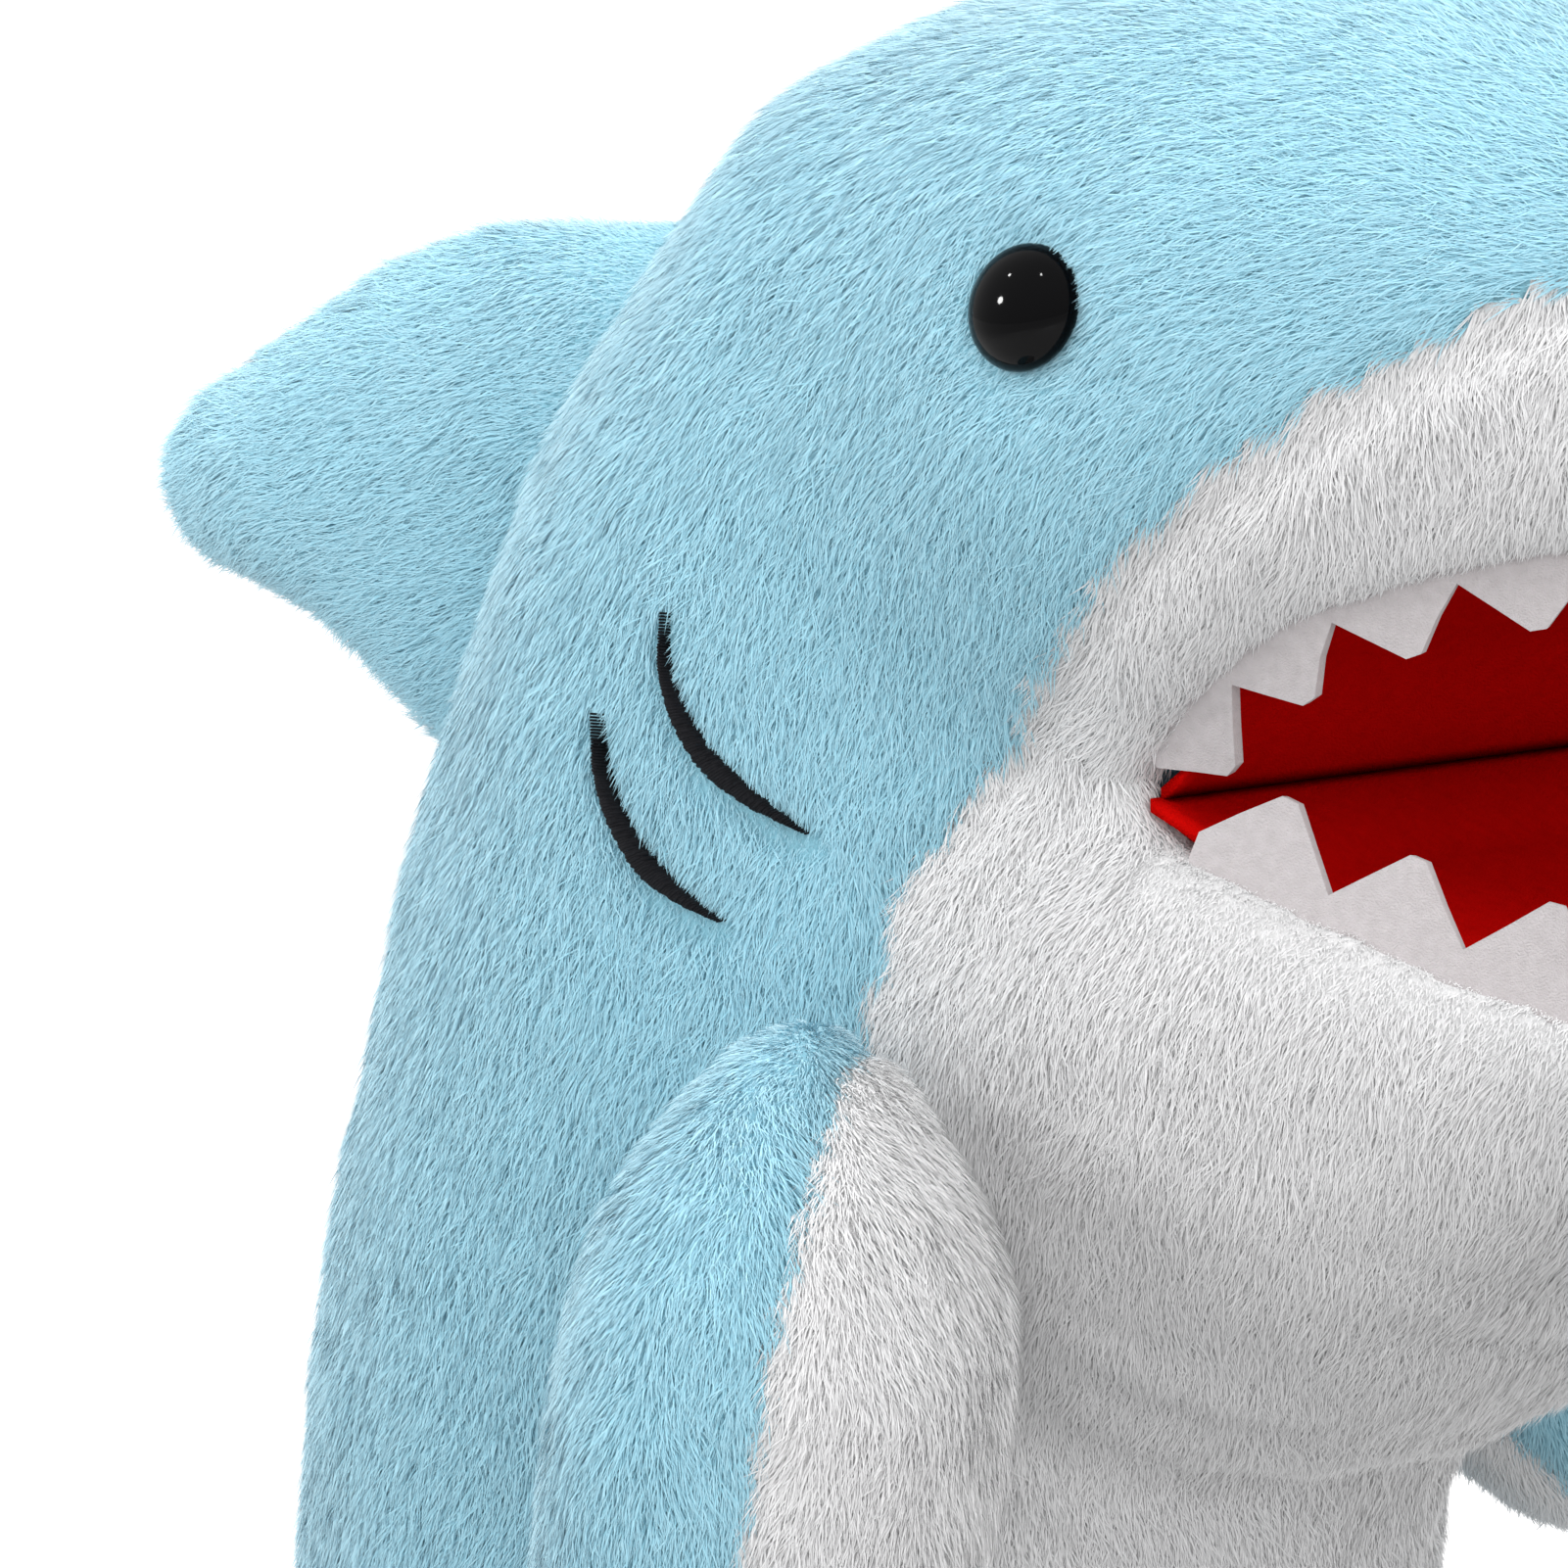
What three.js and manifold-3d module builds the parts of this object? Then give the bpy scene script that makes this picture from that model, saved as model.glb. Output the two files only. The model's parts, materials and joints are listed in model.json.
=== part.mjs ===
// Plush shark hand puppet, built as a glove: a sleeve for the hand, an upper
// head and a lower jaw that turn about the mouth corners, and stuffed fins.
// Millimetres, +Z up, the shark looks along -Y and its left side is +X.
import * as THREE from 'three';
import { mergeVertices } from 'three/addons/utils/BufferGeometryUtils.js';
import Module from 'manifold-3d';

const wasm = await Module();
wasm.setup();

// ---- driving dimensions ----------------------------------------------------
const SLEEVE_LENGTH = 190;      // hem to mouth corners
const BODY_HALF_WIDTH = 61;     // sleeve, side to side
const BODY_HALF_DEPTH = 55.5;   // sleeve, belly to back
const HEAD_HALF_WIDTH = 56;     // widest part of the head
const HEAD_RISE = 82;           // mouth corners to the top of the head
const SNOUT_REACH = 89;         // mouth corners to the tip of the snout
const JAW_REACH = 58;           // mouth corners to the tip of the jaw
const JAW_HALF_WIDTH = 52;
const BODY_SETBACK = 64.5;      // sleeve centre line behind the mouth corners

const SKIN = 4;                 // plush cloth with its pile
const GAP = 0.35;               // clearance between neighbouring pieces
const FELT = 1.6;               // mouth lining and teeth
const LINING = 1.3;             // hand lining cloth
const STUFFING_EASE = 1.2;      // stuffing stands in from the teeth's root
const HEM_HEIGHT = 10;
const CREASE_RADIUS = 4.5;      // room left around the mouth hinge line
const CREASE_GAP = 1;           // linings start this far beyond it

const HEAD_BACK_ANGLE = 125;    // rear edge of the head, from straight ahead
const HEAD_LIFT = 8;            // most the head tips back
const JAW_BACK_ANGLE = -75;     // rear edge of the jaw
const JAW_DROP = 10;            // most the jaw drops
const TURN_SPARE = 2.5;         // angle left over at those two ends

const TOOTH_HEIGHT = 8.5;
const TOOTH_ROOT = 4;
const FRONT_TURN = 10;          // half-width at which the row rounds the front
const UPPER_TOOTH_PITCH = 11;
const LOWER_TOOTH_PITCH = 13.5;

const EYE_DIAMETER = 12.5;
const EYE_DOME = 5.2;
const EYE_SHANK = 3.2;
const EYE_SHANK_LENGTH = 13;
const EYE_WASHER = 11.5;
const EYE_WASHER_THICK = 1.4;
const EYE_AHEAD = -9.5;         // eye centre from the mouth corner, forward
const EYE_ABOVE = 47;           // and upward

const GILL_WIDTH = 1.9;
const GILL_THICK = 1.2;

const POCKET_HALF_WIDTH = 27;   // finger pocket in the head
const POCKET_HALF_HEIGHT = 11;
const THUMB_HALF_WIDTH = 13;
const THUMB_HALF_HEIGHT = 8;

const PECTORAL_CHORD = 62;
const PECTORAL_SPAN = 92;
const PECTORAL_HALF_THICK = 20;
const DORSAL_HALF_THICK = 15;
const TAIL_HALF_THICK = 12;
const FIN_SKIN = 4;
const FIN_STANDOFF = 3.5;       // sewn root left free to flex

const SIDES = 20;
const FULLNESS = 2.5;           // 2 is a plain ellipse, more is boxier
const FAR = 400;
const rad = THREE.MathUtils.degToRad;

// ---- materials -------------------------------------------------------------
const plain = (color, roughness) => new THREE.MeshStandardMaterial({ color, roughness, metalness: 0 });
const bluePlush = plain('#93cddd', 0.95);
const whitePlush = plain('#e9ebec', 0.95);
const redFelt = plain('#b0100c', 0.9);
const whiteFelt = plain('#e4dfe0', 0.9);
const blackThread = plain('#101113', 0.8);
const blackPlastic = plain('#050506', 0.12);
const clearPlastic = plain('#d8d8d4', 0.4);
const liningCloth = plain('#dfe6ea', 0.85);
const fibre = plain('#f4f4f0', 1);

// ---- solids ----------------------------------------------------------------
function solid(geometry) {
  const bare = geometry.index ? geometry.clone() : geometry;
  bare.deleteAttribute('normal');
  bare.deleteAttribute('uv');
  const merged = mergeVertices(bare, 1e-4);
  const vertProperties = new Float32Array(merged.attributes.position.array);
  const triVerts = new Uint32Array(merged.index.array);
  return new wasm.Manifold(new wasm.Mesh({ numProp: 3, vertProperties, triVerts }));
}

function meshOf(name, body, material) {
  const cut = body.getMesh();
  const geometry = new THREE.BufferGeometry();
  geometry.setAttribute('position', new THREE.BufferAttribute(new Float32Array(cut.vertProperties), 3));
  geometry.setIndex(new THREE.BufferAttribute(new Uint32Array(cut.triVerts), 1));
  const mesh = new THREE.Mesh(geometry, material);
  mesh.name = name;
  return mesh;
}

const join = (...bodies) => bodies.reduce((sum, body) => sum.add(body));

// Rings of points joined into a closed skin, each end closed by a flat fan.
function ringsToSolid(rings) {
  const positions = [];
  const index = [];
  const count = rings[0].length;
  rings.forEach((ring) => ring.forEach((p) => positions.push(p.x, p.y, p.z)));
  for (let k = 0; k < rings.length - 1; k += 1) {
    for (let i = 0; i < count; i += 1) {
      const j = (i + 1) % count;
      const a = k * count + i;
      const b = k * count + j;
      index.push(a, b, b + count, a, b + count, a + count);
    }
  }
  [0, rings.length - 1].forEach((k) => {
    const middle = new THREE.Vector3();
    rings[k].forEach((p) => middle.addScaledVector(p, 1 / count));
    const hub = positions.length / 3;
    positions.push(middle.x, middle.y, middle.z);
    for (let i = 0; i < count; i += 1) {
      const a = k * count + i;
      const b = k * count + ((i + 1) % count);
      if (k === 0) index.push(hub, b, a);
      else index.push(hub, a, b);
    }
  });
  const geometry = new THREE.BufferGeometry();
  geometry.setAttribute('position', new THREE.Float32BufferAttribute(positions, 3));
  geometry.setIndex(index);
  return solid(geometry);
}

// One oval station: centre in the middle plane, half-width, half-sizes toward
// the back and toward the belly, and the lean of the back direction from +Y.
function oval({ y, z, wide, back, belly, lean, power = 2 }, inset) {
  const points = [];
  const swell = (value) => Math.sign(value) * Math.abs(value) ** (2 / power);
  const up = new THREE.Vector3(0, Math.cos(rad(lean)), Math.sin(rad(lean)));
  const smallest = 1.2;
  for (let i = 0; i < SIDES; i += 1) {
    const angle = (i / SIDES) * Math.PI * 2;
    const rise = swell(Math.sin(angle));
    const half = Math.max((rise > 0 ? back : belly) - inset, smallest);
    const x = swell(Math.cos(angle)) * Math.max(wide - inset, smallest);
    points.push(new THREE.Vector3(x, y, z).addScaledVector(up, rise * half));
  }
  return points;
}

// Blocks that cut: a side outline in (y, z) carried right across the width.
function slab(outline, from = -FAR, to = FAR) {
  const shape = new THREE.Shape(outline.map(([y, z]) => new THREE.Vector2(y, z)));
  const geometry = new THREE.ExtrudeGeometry(shape, { depth: to - from, bevelEnabled: false });
  const turn = new THREE.Matrix4().makeBasis(
    new THREE.Vector3(0, 1, 0),
    new THREE.Vector3(0, 0, 1),
    new THREE.Vector3(1, 0, 0),
  );
  geometry.applyMatrix4(turn);
  geometry.translate(from, 0, 0);
  return solid(geometry);
}

// A point in the middle plane at an angle above straight ahead.
const ahead = (angle, reach) => [-Math.cos(rad(angle)) * reach, Math.sin(rad(angle)) * reach];

function wedge(from, to) {
  const steps = 6;
  const outline = [[0, 0]];
  for (let i = 0; i <= steps; i += 1) outline.push(ahead(from + ((to - from) * i) / steps, FAR));
  return slab(outline);
}

function rodAlongX(radius) {
  const rod = new THREE.CylinderGeometry(radius, radius, FAR, 16);
  rod.rotateZ(Math.PI / 2);
  return solid(rod);
}

// ---- the outer form --------------------------------------------------------
// Sleeve stations: height, centre behind the sleeve line, then shares of the
// half-width and of the half-depth toward back and belly.
const sleeveStations = [
  [-SLEEVE_LENGTH, 3.5, 0.9, 0.92, 0.92],
  [-SLEEVE_LENGTH * 0.6, 2, 0.975, 0.98, 0.96],
  [-72, 0, 1, 1, 0.99],
  [-50, -3, 1, 1, 1.08],
  [-29, -6.5, 0.985, 0.97, 1.13],
  [-8, -9.3, 0.965, 0.92, 1.08],
  [16, -14, 0.935, 0.83, 0.93],
  [36, -19.5, 0.885, 0.75, 0.79],
  [52, -24, 0.79, 0.61, 0.65],
  [65, -27.5, 0.64, 0.49, 0.52],
  [75, -32.5, 0.33, 0.24, 0.26],
];

// Head stations: distance ahead of the mouth corners as a share of the snout,
// centre height, share of the half-width, and the half-sizes up and down.
const headStations = [
  [-0.6, 32, 0.93, 40.5, 45],
  [-0.19, 37, 1, 44.5, 46],
  [0, 38, 0.99, 44, 45],
  [0.2, 39, 0.95, 42, 38],
  [0.4, 41, 0.87, 37, 33],
  [0.6, 43, 0.75, 30, 29],
  [0.77, 43.5, 0.6, 23, 24],
  [0.89, 43, 0.44, 16.5, 18],
  [0.965, 42.5, 0.28, 10.5, 11],
  [1, 42, 0.14, 5.5, 5.8],
];

const jawStations = [
  [-0.9, -25, 0.98, 40, 45],
  [-0.4, -24, 1, 37, 50],
  [0, -23, 1, 36, 45],
  [0.31, -22, 0.92, 27, 36],
  [0.57, -20, 0.83, 22, 27],
  [0.78, -20, 0.68, 16, 19],
  [0.91, -21, 0.48, 11, 12.5],
  [1, -22, 0.24, 6.5, 6.5],
];

const topShare = HEAD_RISE / 82;

function sleeveForm(inset) {
  const crown = sleeveStations[sleeveStations.length - 1][0] * topShare;
  const rings = sleeveStations.map(([z, shift, wide, back, belly], k) => {
    const foot = k === 0 && inset > 0 ? -20 : 0;
    return oval({
      y: BODY_SETBACK + shift,
      z: z > 0 ? z * topShare * (crown - inset) / crown : z + foot,
      wide: wide * BODY_HALF_WIDTH,
      back: back * BODY_HALF_DEPTH,
      belly: belly * BODY_HALF_DEPTH,
      lean: 0,
    }, inset);
  });
  return ringsToSolid(rings);
}

function lobeForm(stations, reach, halfWidth, rise, inset) {
  const rings = stations.map(([share, z, wide, up, down]) => oval({
    y: -share * (share > 0 ? reach - inset : reach),
    z: z * rise,
    wide: wide * halfWidth,
    back: up * rise,
    belly: down,
    lean: 90,
    power: FULLNESS,
  }, inset));
  return ringsToSolid(rings);
}

const headForm = (inset) => lobeForm(headStations, SNOUT_REACH, HEAD_HALF_WIDTH, topShare, inset);
const jawForm = (inset) => lobeForm(jawStations, JAW_REACH, JAW_HALF_WIDTH, 1, inset);
const sharkForm = (inset) => join(sleeveForm(inset), headForm(inset), jawForm(inset));

const outerForm = sharkForm(0);
const skinInside = sharkForm(SKIN);
const liningOutside = sharkForm(SKIN + GAP);
const liningInside = sharkForm(SKIN + GAP + LINING);
const coreForm = sharkForm(SKIN + 3 * GAP + FELT + STUFFING_EASE);

// ---- the mouth, the seam and the three moving regions ----------------------
const upperLip = [[0, 0], [-13, 9], [-41, 23.5], [-SNOUT_REACH, 36], [-SNOUT_REACH - 30, 43]];
const lowerLip = [[0, 0], [-18, -7], [-38, -15], [-JAW_REACH, -20], [-JAW_REACH - 90, -27]];

const mouth = slab([...upperLip, ...[...lowerLip].reverse().slice(0, -1)]);

// A thin plate that follows a lip line, on its side away from the mouth.
function liningPlate(line, side, from, thick) {
  const near = line.map(([y, z]) => [y, z + side * from]);
  const far = line.map(([y, z]) => [y, z + side * (from + thick)]);
  return slab([...near, ...far.reverse()]);
}

const seamLine = [
  [-SNOUT_REACH - 10, 60],
  [-68, 55.5],
  [-47, 49.5],
  [-29, 41.7],
  [-8, 27.8],
  [1, 20.4],
  [14, 5.6],
  [25, -7.4],
  [28.5, -18],
  [32, -40],
  [34, -90],
  [38, -SLEEVE_LENGTH - 30],
];

function besideSeam(side) {
  const shift = side * GAP * 0.5;
  const line = seamLine.map(([y, z]) => [y + shift, z + shift]);
  const corner = side > 0
    ? [[FAR, -SLEEVE_LENGTH - 30], [FAR, FAR], [-SNOUT_REACH - 10, FAR]]
    : [[-FAR, -SLEEVE_LENGTH - 30], [-FAR, 60]];
  return slab([...line, ...corner]);
}

const blueSide = besideSeam(1);
const whiteSide = besideSeam(-1);
const crease = rodAlongX(CREASE_RADIUS);
const headRegion = wedge(0, HEAD_BACK_ANGLE).subtract(mouth).subtract(crease);
const jawRegion = wedge(JAW_BACK_ANGLE, 0).subtract(mouth).subtract(crease);
const sleeveTop = HEAD_BACK_ANGLE + HEAD_LIFT + TURN_SPARE;
const sleeveFront = 360 + JAW_BACK_ANGLE - JAW_DROP - TURN_SPARE;
const aboveHem = slab([
  [-FAR, -SLEEVE_LENGTH + HEM_HEIGHT + GAP],
  [FAR, -SLEEVE_LENGTH + HEM_HEIGHT + GAP],
  [FAR, FAR],
  [-FAR, FAR],
]);
const atHem = slab([
  [-FAR, -SLEEVE_LENGTH],
  [FAR, -SLEEVE_LENGTH],
  [FAR, -SLEEVE_LENGTH + HEM_HEIGHT],
  [-FAR, -SLEEVE_LENGTH + HEM_HEIGHT],
]);
const sleeveRegion = wedge(sleeveTop, sleeveFront).subtract(crease).intersect(aboveHem);

// ---- eyes ------------------------------------------------------------------
const seatOf = (station, height) => {
  const [, z, wide, up] = station;
  const share = (height - z * topShare) / (up * topShare);
  return wide * HEAD_HALF_WIDTH * Math.sqrt(1 - share * share);
};

const eyeSeat = seatOf(headStations[1], EYE_ABOVE);

function eyeProfile() {
  const radius = EYE_DIAMETER / 2;
  const shank = EYE_SHANK / 2;
  const points = [new THREE.Vector2(0, -EYE_SHANK_LENGTH), new THREE.Vector2(shank, -EYE_SHANK_LENGTH)];
  points.push(new THREE.Vector2(shank, 0), new THREE.Vector2(radius * 0.96, 0));
  for (let i = 1; i <= 5; i += 1) {
    const angle = (i / 5) * Math.PI * 0.5;
    points.push(new THREE.Vector2(radius * Math.cos(angle), 0.8 + (EYE_DOME - 0.8) * Math.sin(angle)));
  }
  points[points.length - 1].x = 0;
  return points;
}

// Places a part made along +Z so that +Z points out of one side of the head.
function onHead(geometry, side, depth) {
  const outward = new THREE.Vector3(side, -0.06, 0.2).normalize();
  const turn = new THREE.Quaternion().setFromUnitVectors(new THREE.Vector3(0, 0, 1), outward);
  const place = new THREE.Vector3(side * eyeSeat, -EYE_AHEAD, EYE_ABOVE);
  place.addScaledVector(outward, depth);
  geometry.applyQuaternion(turn);
  geometry.translate(place.x, place.y, place.z);
  return solid(geometry);
}

function latheUp(points) {
  const geometry = new THREE.LatheGeometry(points, 20);
  geometry.rotateX(Math.PI / 2);
  return geometry;
}

const discAt = (radius, from, to) => {
  const disc = new THREE.CylinderGeometry(radius, radius, to - from, 20);
  disc.rotateX(Math.PI / 2);
  disc.translate(0, 0, (from + to) / 2);
  return disc;
};

const eyeStand = GAP + 0.6;
const eyeBody = (side) => onHead(latheUp(eyeProfile()), side, eyeStand);
const shankHole = (side) => onHead(discAt(EYE_SHANK / 2 + GAP, -24, 12), side, 0);
const washerBack = -SKIN - 1.6;
function eyeWasher(side) {
  const disc = onHead(discAt(EYE_WASHER / 2, washerBack - EYE_WASHER_THICK, washerBack), side, 0);
  return disc.subtract(onHead(discAt(EYE_SHANK / 2 + GAP, -24, 12), side, 0));
}
const washerRoom = (side) => onHead(discAt(EYE_WASHER / 2 + GAP, washerBack - EYE_WASHER_THICK - GAP, 2), side, 0);
const shankRoom = (side) => onHead(discAt(EYE_SHANK / 2 + GAP, -24, 0), side, 0);

// ---- teeth -----------------------------------------------------------------
const lineHeight = (line, y) => {
  for (let i = 0; i < line.length - 1; i += 1) {
    const [y0, z0] = line[i];
    const [y1, z1] = line[i + 1];
    if (y <= y0 && y >= y1) return z0 + ((z1 - z0) * (y - y0)) / (y1 - y0);
  }
  return line[line.length - 1][1];
};

const stationAt = (stations, share) => {
  for (let i = 0; i < stations.length - 1; i += 1) {
    const [s0] = stations[i];
    const [s1] = stations[i + 1];
    if (share >= s0 && share <= s1) {
      const mix = (share - s0) / (s1 - s0);
      return stations[i].map((value, k) => value + (stations[i + 1][k] - value) * mix);
    }
  }
  return stations[stations.length - 1];
};

// Half of the lip, from one mouth corner to the middle of the front.
function lipHalf(stations, reach, halfWidth, line, isUpper, inset) {
  const points = [];
  const start = CREASE_RADIUS + 4.5;
  const end = reach - inset;
  for (let i = 0; i <= 40; i += 1) {
    const forward = start + ((end - start) * i) / 40;
    const [, z, wide, up, down] = stationAt(stations, forward / end);
    const height = lineHeight(line, -forward);
    const centre = isUpper ? z * topShare : z;
    const half = Math.max((isUpper ? down : up) - inset, 1);
    const share = Math.min(Math.abs(height - centre) / half, 1);
    const x = Math.max(wide * halfWidth - inset, 0) * (1 - share ** FULLNESS) ** (1 / FULLNESS);
    if (x < FRONT_TURN && i > 10) break;
    points.push(new THREE.Vector3(x, -forward, height));
  }
  const last = points[points.length - 1];
  points.push(new THREE.Vector3(last.x * 0.55, last.y - 2, last.z));
  points.push(new THREE.Vector3(0, last.y - 2.8, last.z));
  return points;
}

function toothStrip(half, pitch, side, room) {
  const mirrored = half.map((p) => new THREE.Vector3(-p.x, p.y, p.z)).reverse().slice(1);
  const path = new THREE.CatmullRomCurve3([...half, ...mirrored], false, 'centripetal');
  const teeth = Math.max(Math.round(path.getLength() / pitch), 3);
  const steps = teeth * 2;
  const rings = [];
  for (let i = 0; i <= steps; i += 1) {
    const along = i / steps;
    const p = path.getPointAt(along);
    const t = path.getTangentAt(along);
    const inward = new THREE.Vector3(-t.y, t.x, 0).normalize();
    const fade = Math.min(1, 0.45 + Math.min(along, 1 - along) * 5);
    const tip = i % 2 === 1 ? TOOTH_HEIGHT * fade : 0.8;
    const low = new THREE.Vector3(p.x, p.y, p.z - side * (tip + room));
    const high = new THREE.Vector3(p.x, p.y, p.z + side * (TOOTH_ROOT + room));
    const step = inward.multiplyScalar(FELT * 0.5 + room);
    const ring = [low.clone().sub(step), low.clone().add(step), high.clone().add(step), high.clone().sub(step)];
    rings.push(side > 0 ? ring : ring.reverse());
  }
  return ringsToSolid(rings);
}

// ---- gill stitches ---------------------------------------------------------
const gillLines = [
  [[49.5, 16.7], [49.2, 11], [46, 4.6], [41, 0], [34.5, -3.9]],
  [[57, 6.7], [55.7, 0], [51.6, -6.5], [47, -10.2], [42.5, -12.5]],
];

function gillStitch(line, side) {
  const curve = new THREE.SplineCurve(line.map(([y, z]) => new THREE.Vector2(y, z)));
  const left = [];
  const right = [];
  for (let i = 0; i <= 10; i += 1) {
    const p = curve.getPoint(i / 10);
    const t = curve.getTangent(i / 10);
    const half = 0.25 + (GILL_WIDTH * 0.5 - 0.25) * Math.sin((i / 10) * Math.PI);
    left.push([p.x - t.y * half, p.y + t.x * half]);
    right.push([p.x + t.y * half, p.y - t.x * half]);
  }
  const outline = [...left, ...right.reverse()];
  const block = side > 0 ? slab(outline, 5, FAR) : slab(outline, -FAR, -5);
  return sharkForm(-GAP - GILL_THICK).subtract(sharkForm(-GAP)).intersect(block);
}

// ---- fins ------------------------------------------------------------------
// A stuffed pad: an outline in its own plane, swelling to a half-thickness.
function pad(outline, halfThick, inset, place) {
  const middle = new THREE.Vector2();
  outline.forEach(([x, y]) => middle.add(new THREE.Vector2(x / outline.length, y / outline.length)));
  const reach = Math.min(...outline.map(([x, y]) => Math.hypot(x - middle.x, y - middle.y)));
  const shrink = (reach - inset) / reach;
  const layers = [[0.42, -0.94], [0.78, -0.7], [0.96, -0.3], [1, 0], [0.96, 0.3], [0.78, 0.7], [0.42, 0.94]];
  const thick = halfThick - inset;
  return ringsToSolid(layers.map(([share, height]) => outline.map(([x, y]) => new THREE.Vector3(
    middle.x + (x - middle.x) * share * shrink,
    middle.y + (y - middle.y) * share * shrink,
    height * thick,
  ).applyMatrix4(place))));
}

const half = (side, place) => {
  const block = new THREE.BoxGeometry(FAR, FAR, FAR);
  block.translate(0, 0, side * (FAR / 2 + GAP / 2));
  block.applyMatrix4(place);
  return solid(block);
};

const bodyRoom = sharkForm(-FIN_STANDOFF);

function finPieces(name, outline, halfThick, place, colours) {
  const [topName, lowName] = colours.names;
  const inside = pad(outline, halfThick, FIN_SKIN, place);
  const shell = pad(outline, halfThick, 0, place).subtract(inside).subtract(bodyRoom);
  const stuffing = pad(outline, halfThick, FIN_SKIN + GAP, place).subtract(bodyRoom);
  const pieces = [
    [`${name}_${topName}`, shell.intersect(half(1, place)), colours.top],
    [`${name}_${lowName}`, shell.intersect(half(-1, place)), colours.low],
    [`${name}_stuffing`, stuffing, fibre],
  ];
  const group = new THREE.Group();
  pieces.forEach(([label, body, material]) => group.add(meshOf(label, body, material)));
  return group;
}

// Frame from the way the fin points (out), the way its leading edge faces
// (edge), and where its root starts.
function finFrame(out, edge, root) {
  const x = new THREE.Vector3(...edge).normalize();
  const y = new THREE.Vector3(...out).normalize();
  const z = new THREE.Vector3().crossVectors(x, y).normalize();
  x.crossVectors(y, z).normalize();
  return new THREE.Matrix4().makeBasis(x, y, z).setPosition(...root);
}

const c = PECTORAL_CHORD;
const s = PECTORAL_SPAN;
const pectoralOutline = [
  [-0.16 * c, 0],
  [0.14 * c, 0],
  [0.36 * c, 0.13 * s],
  [0.47 * c, 0.32 * s],
  [0.46 * c, 0.54 * s],
  [0.34 * c, 0.76 * s],
  [0.14 * c, 0.93 * s],
  [-0.08 * c, s],
  [-0.24 * c, 0.95 * s],
  [-0.35 * c, 0.78 * s],
  [-0.42 * c, 0.55 * s],
  [-0.42 * c, 0.3 * s],
  [-0.32 * c, 0.1 * s],
];

const dorsalOutline = [
  [26, 2],
  [31, 14],
  [31, 30],
  [25, 44],
  [18, 56],
  [9, 66],
  [-1, 68],
  [-8, 62],
  [-13, 50],
  [-21, 38],
  [-31, 27],
  [-36, 12],
  [-30, 2],
];

const tailOutline = [
  [13, 0],
  [17, 12],
  [28, 24],
  [38, 38],
  [41, 48],
  [34, 52],
  [20, 47],
  [7, 40],
  [-2, 38],
  [-12, 43],
  [-24, 46],
  [-32, 43],
  [-30, 33],
  [-21, 21],
  [-13, 10],
  [-9, 0],
];

const blueAhead = { names: ['blue_panel', 'white_panel'], top: bluePlush, low: whitePlush };
const blueBehind = { names: ['white_panel', 'blue_panel'], top: whitePlush, low: bluePlush };
const allBlue = { names: ['left_panel', 'right_panel'], top: bluePlush, low: bluePlush };

// ---- assembly --------------------------------------------------------------
const toothInset = SKIN + GAP + FELT * 0.5;
const upperHalf = lipHalf(headStations, SNOUT_REACH, HEAD_HALF_WIDTH, upperLip, true, toothInset);
const lowerHalf = lipHalf(jawStations, JAW_REACH, JAW_HALF_WIDTH, lowerLip, false, toothInset);
const upperTeeth = toothStrip(upperHalf, UPPER_TOOTH_PITCH, 1, 0);
const lowerTeeth = toothStrip(lowerHalf, LOWER_TOOTH_PITCH, -1, 0);
const upperToothRoom = toothStrip(upperHalf, UPPER_TOOTH_PITCH, 1, GAP);
const lowerToothRoom = toothStrip(lowerHalf, LOWER_TOOTH_PITCH, -1, GAP);

const skinShell = outerForm.subtract(skinInside);
const liningShell = liningOutside.subtract(liningInside);
const eyeHoles = shankHole(1).add(shankHole(-1));

const hemBand = outerForm.subtract(liningInside).intersect(atHem);
const backSkin = skinShell.intersect(sleeveRegion).intersect(blueSide);
const bellySkin = skinShell.intersect(sleeveRegion).intersect(whiteSide);
const sleeveLining = liningShell.intersect(sleeveRegion);
const crownSkin = skinShell.intersect(headRegion).intersect(blueSide).subtract(eyeHoles);
const lipSkin = skinShell.intersect(headRegion).intersect(whiteSide).subtract(upperToothRoom);
const jawSkin = skinShell.intersect(jawRegion).subtract(lowerToothRoom);

const creaseRoom = rodAlongX(CREASE_RADIUS + CREASE_GAP);
const feltForm = sharkForm(SKIN + GAP * 3 + FELT + CREASE_GAP).subtract(creaseRoom);
const palateForm = feltForm.intersect(liningPlate(upperLip, 1, 0.2, FELT));
const palate = palateForm.intersect(headRegion);
const floorForm = feltForm.intersect(liningPlate(lowerLip, -1, 0.2, FELT));
const mouthFloor = floorForm.intersect(jawRegion);

const pocketForm = (inset, rear) => ringsToSolid([
  [rear, 34, 1, 1],
  [-14, 36, 1, 1],
  [-40, 41, 0.9, 0.9],
  [-58, 45, 0.68, 0.7],
  [-64, 46.5, 0.42, 0.45],
].map(([y, z, wide, tall], k, all) => oval({
  y: y + (k === all.length - 1 ? inset : 0),
  z,
  wide: wide * POCKET_HALF_WIDTH,
  back: tall * POCKET_HALF_HEIGHT,
  belly: tall * POCKET_HALF_HEIGHT,
  lean: 90,
}, inset)));

const thumbForm = (inset, rear) => ringsToSolid([
  [rear, -31, 1, 1],
  [-16, -30, 1, 1],
  [-28, -28, 0.9, 0.85],
  [-34, -27, 0.6, 0.5],
].map(([y, z, wide, tall], k, all) => oval({
  y: y + (k === all.length - 1 ? inset : 0),
  z,
  wide: wide * THUMB_HALF_WIDTH,
  back: tall * THUMB_HALF_HEIGHT,
  belly: tall * THUMB_HALF_HEIGHT,
  lean: 90,
}, inset)));

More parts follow.
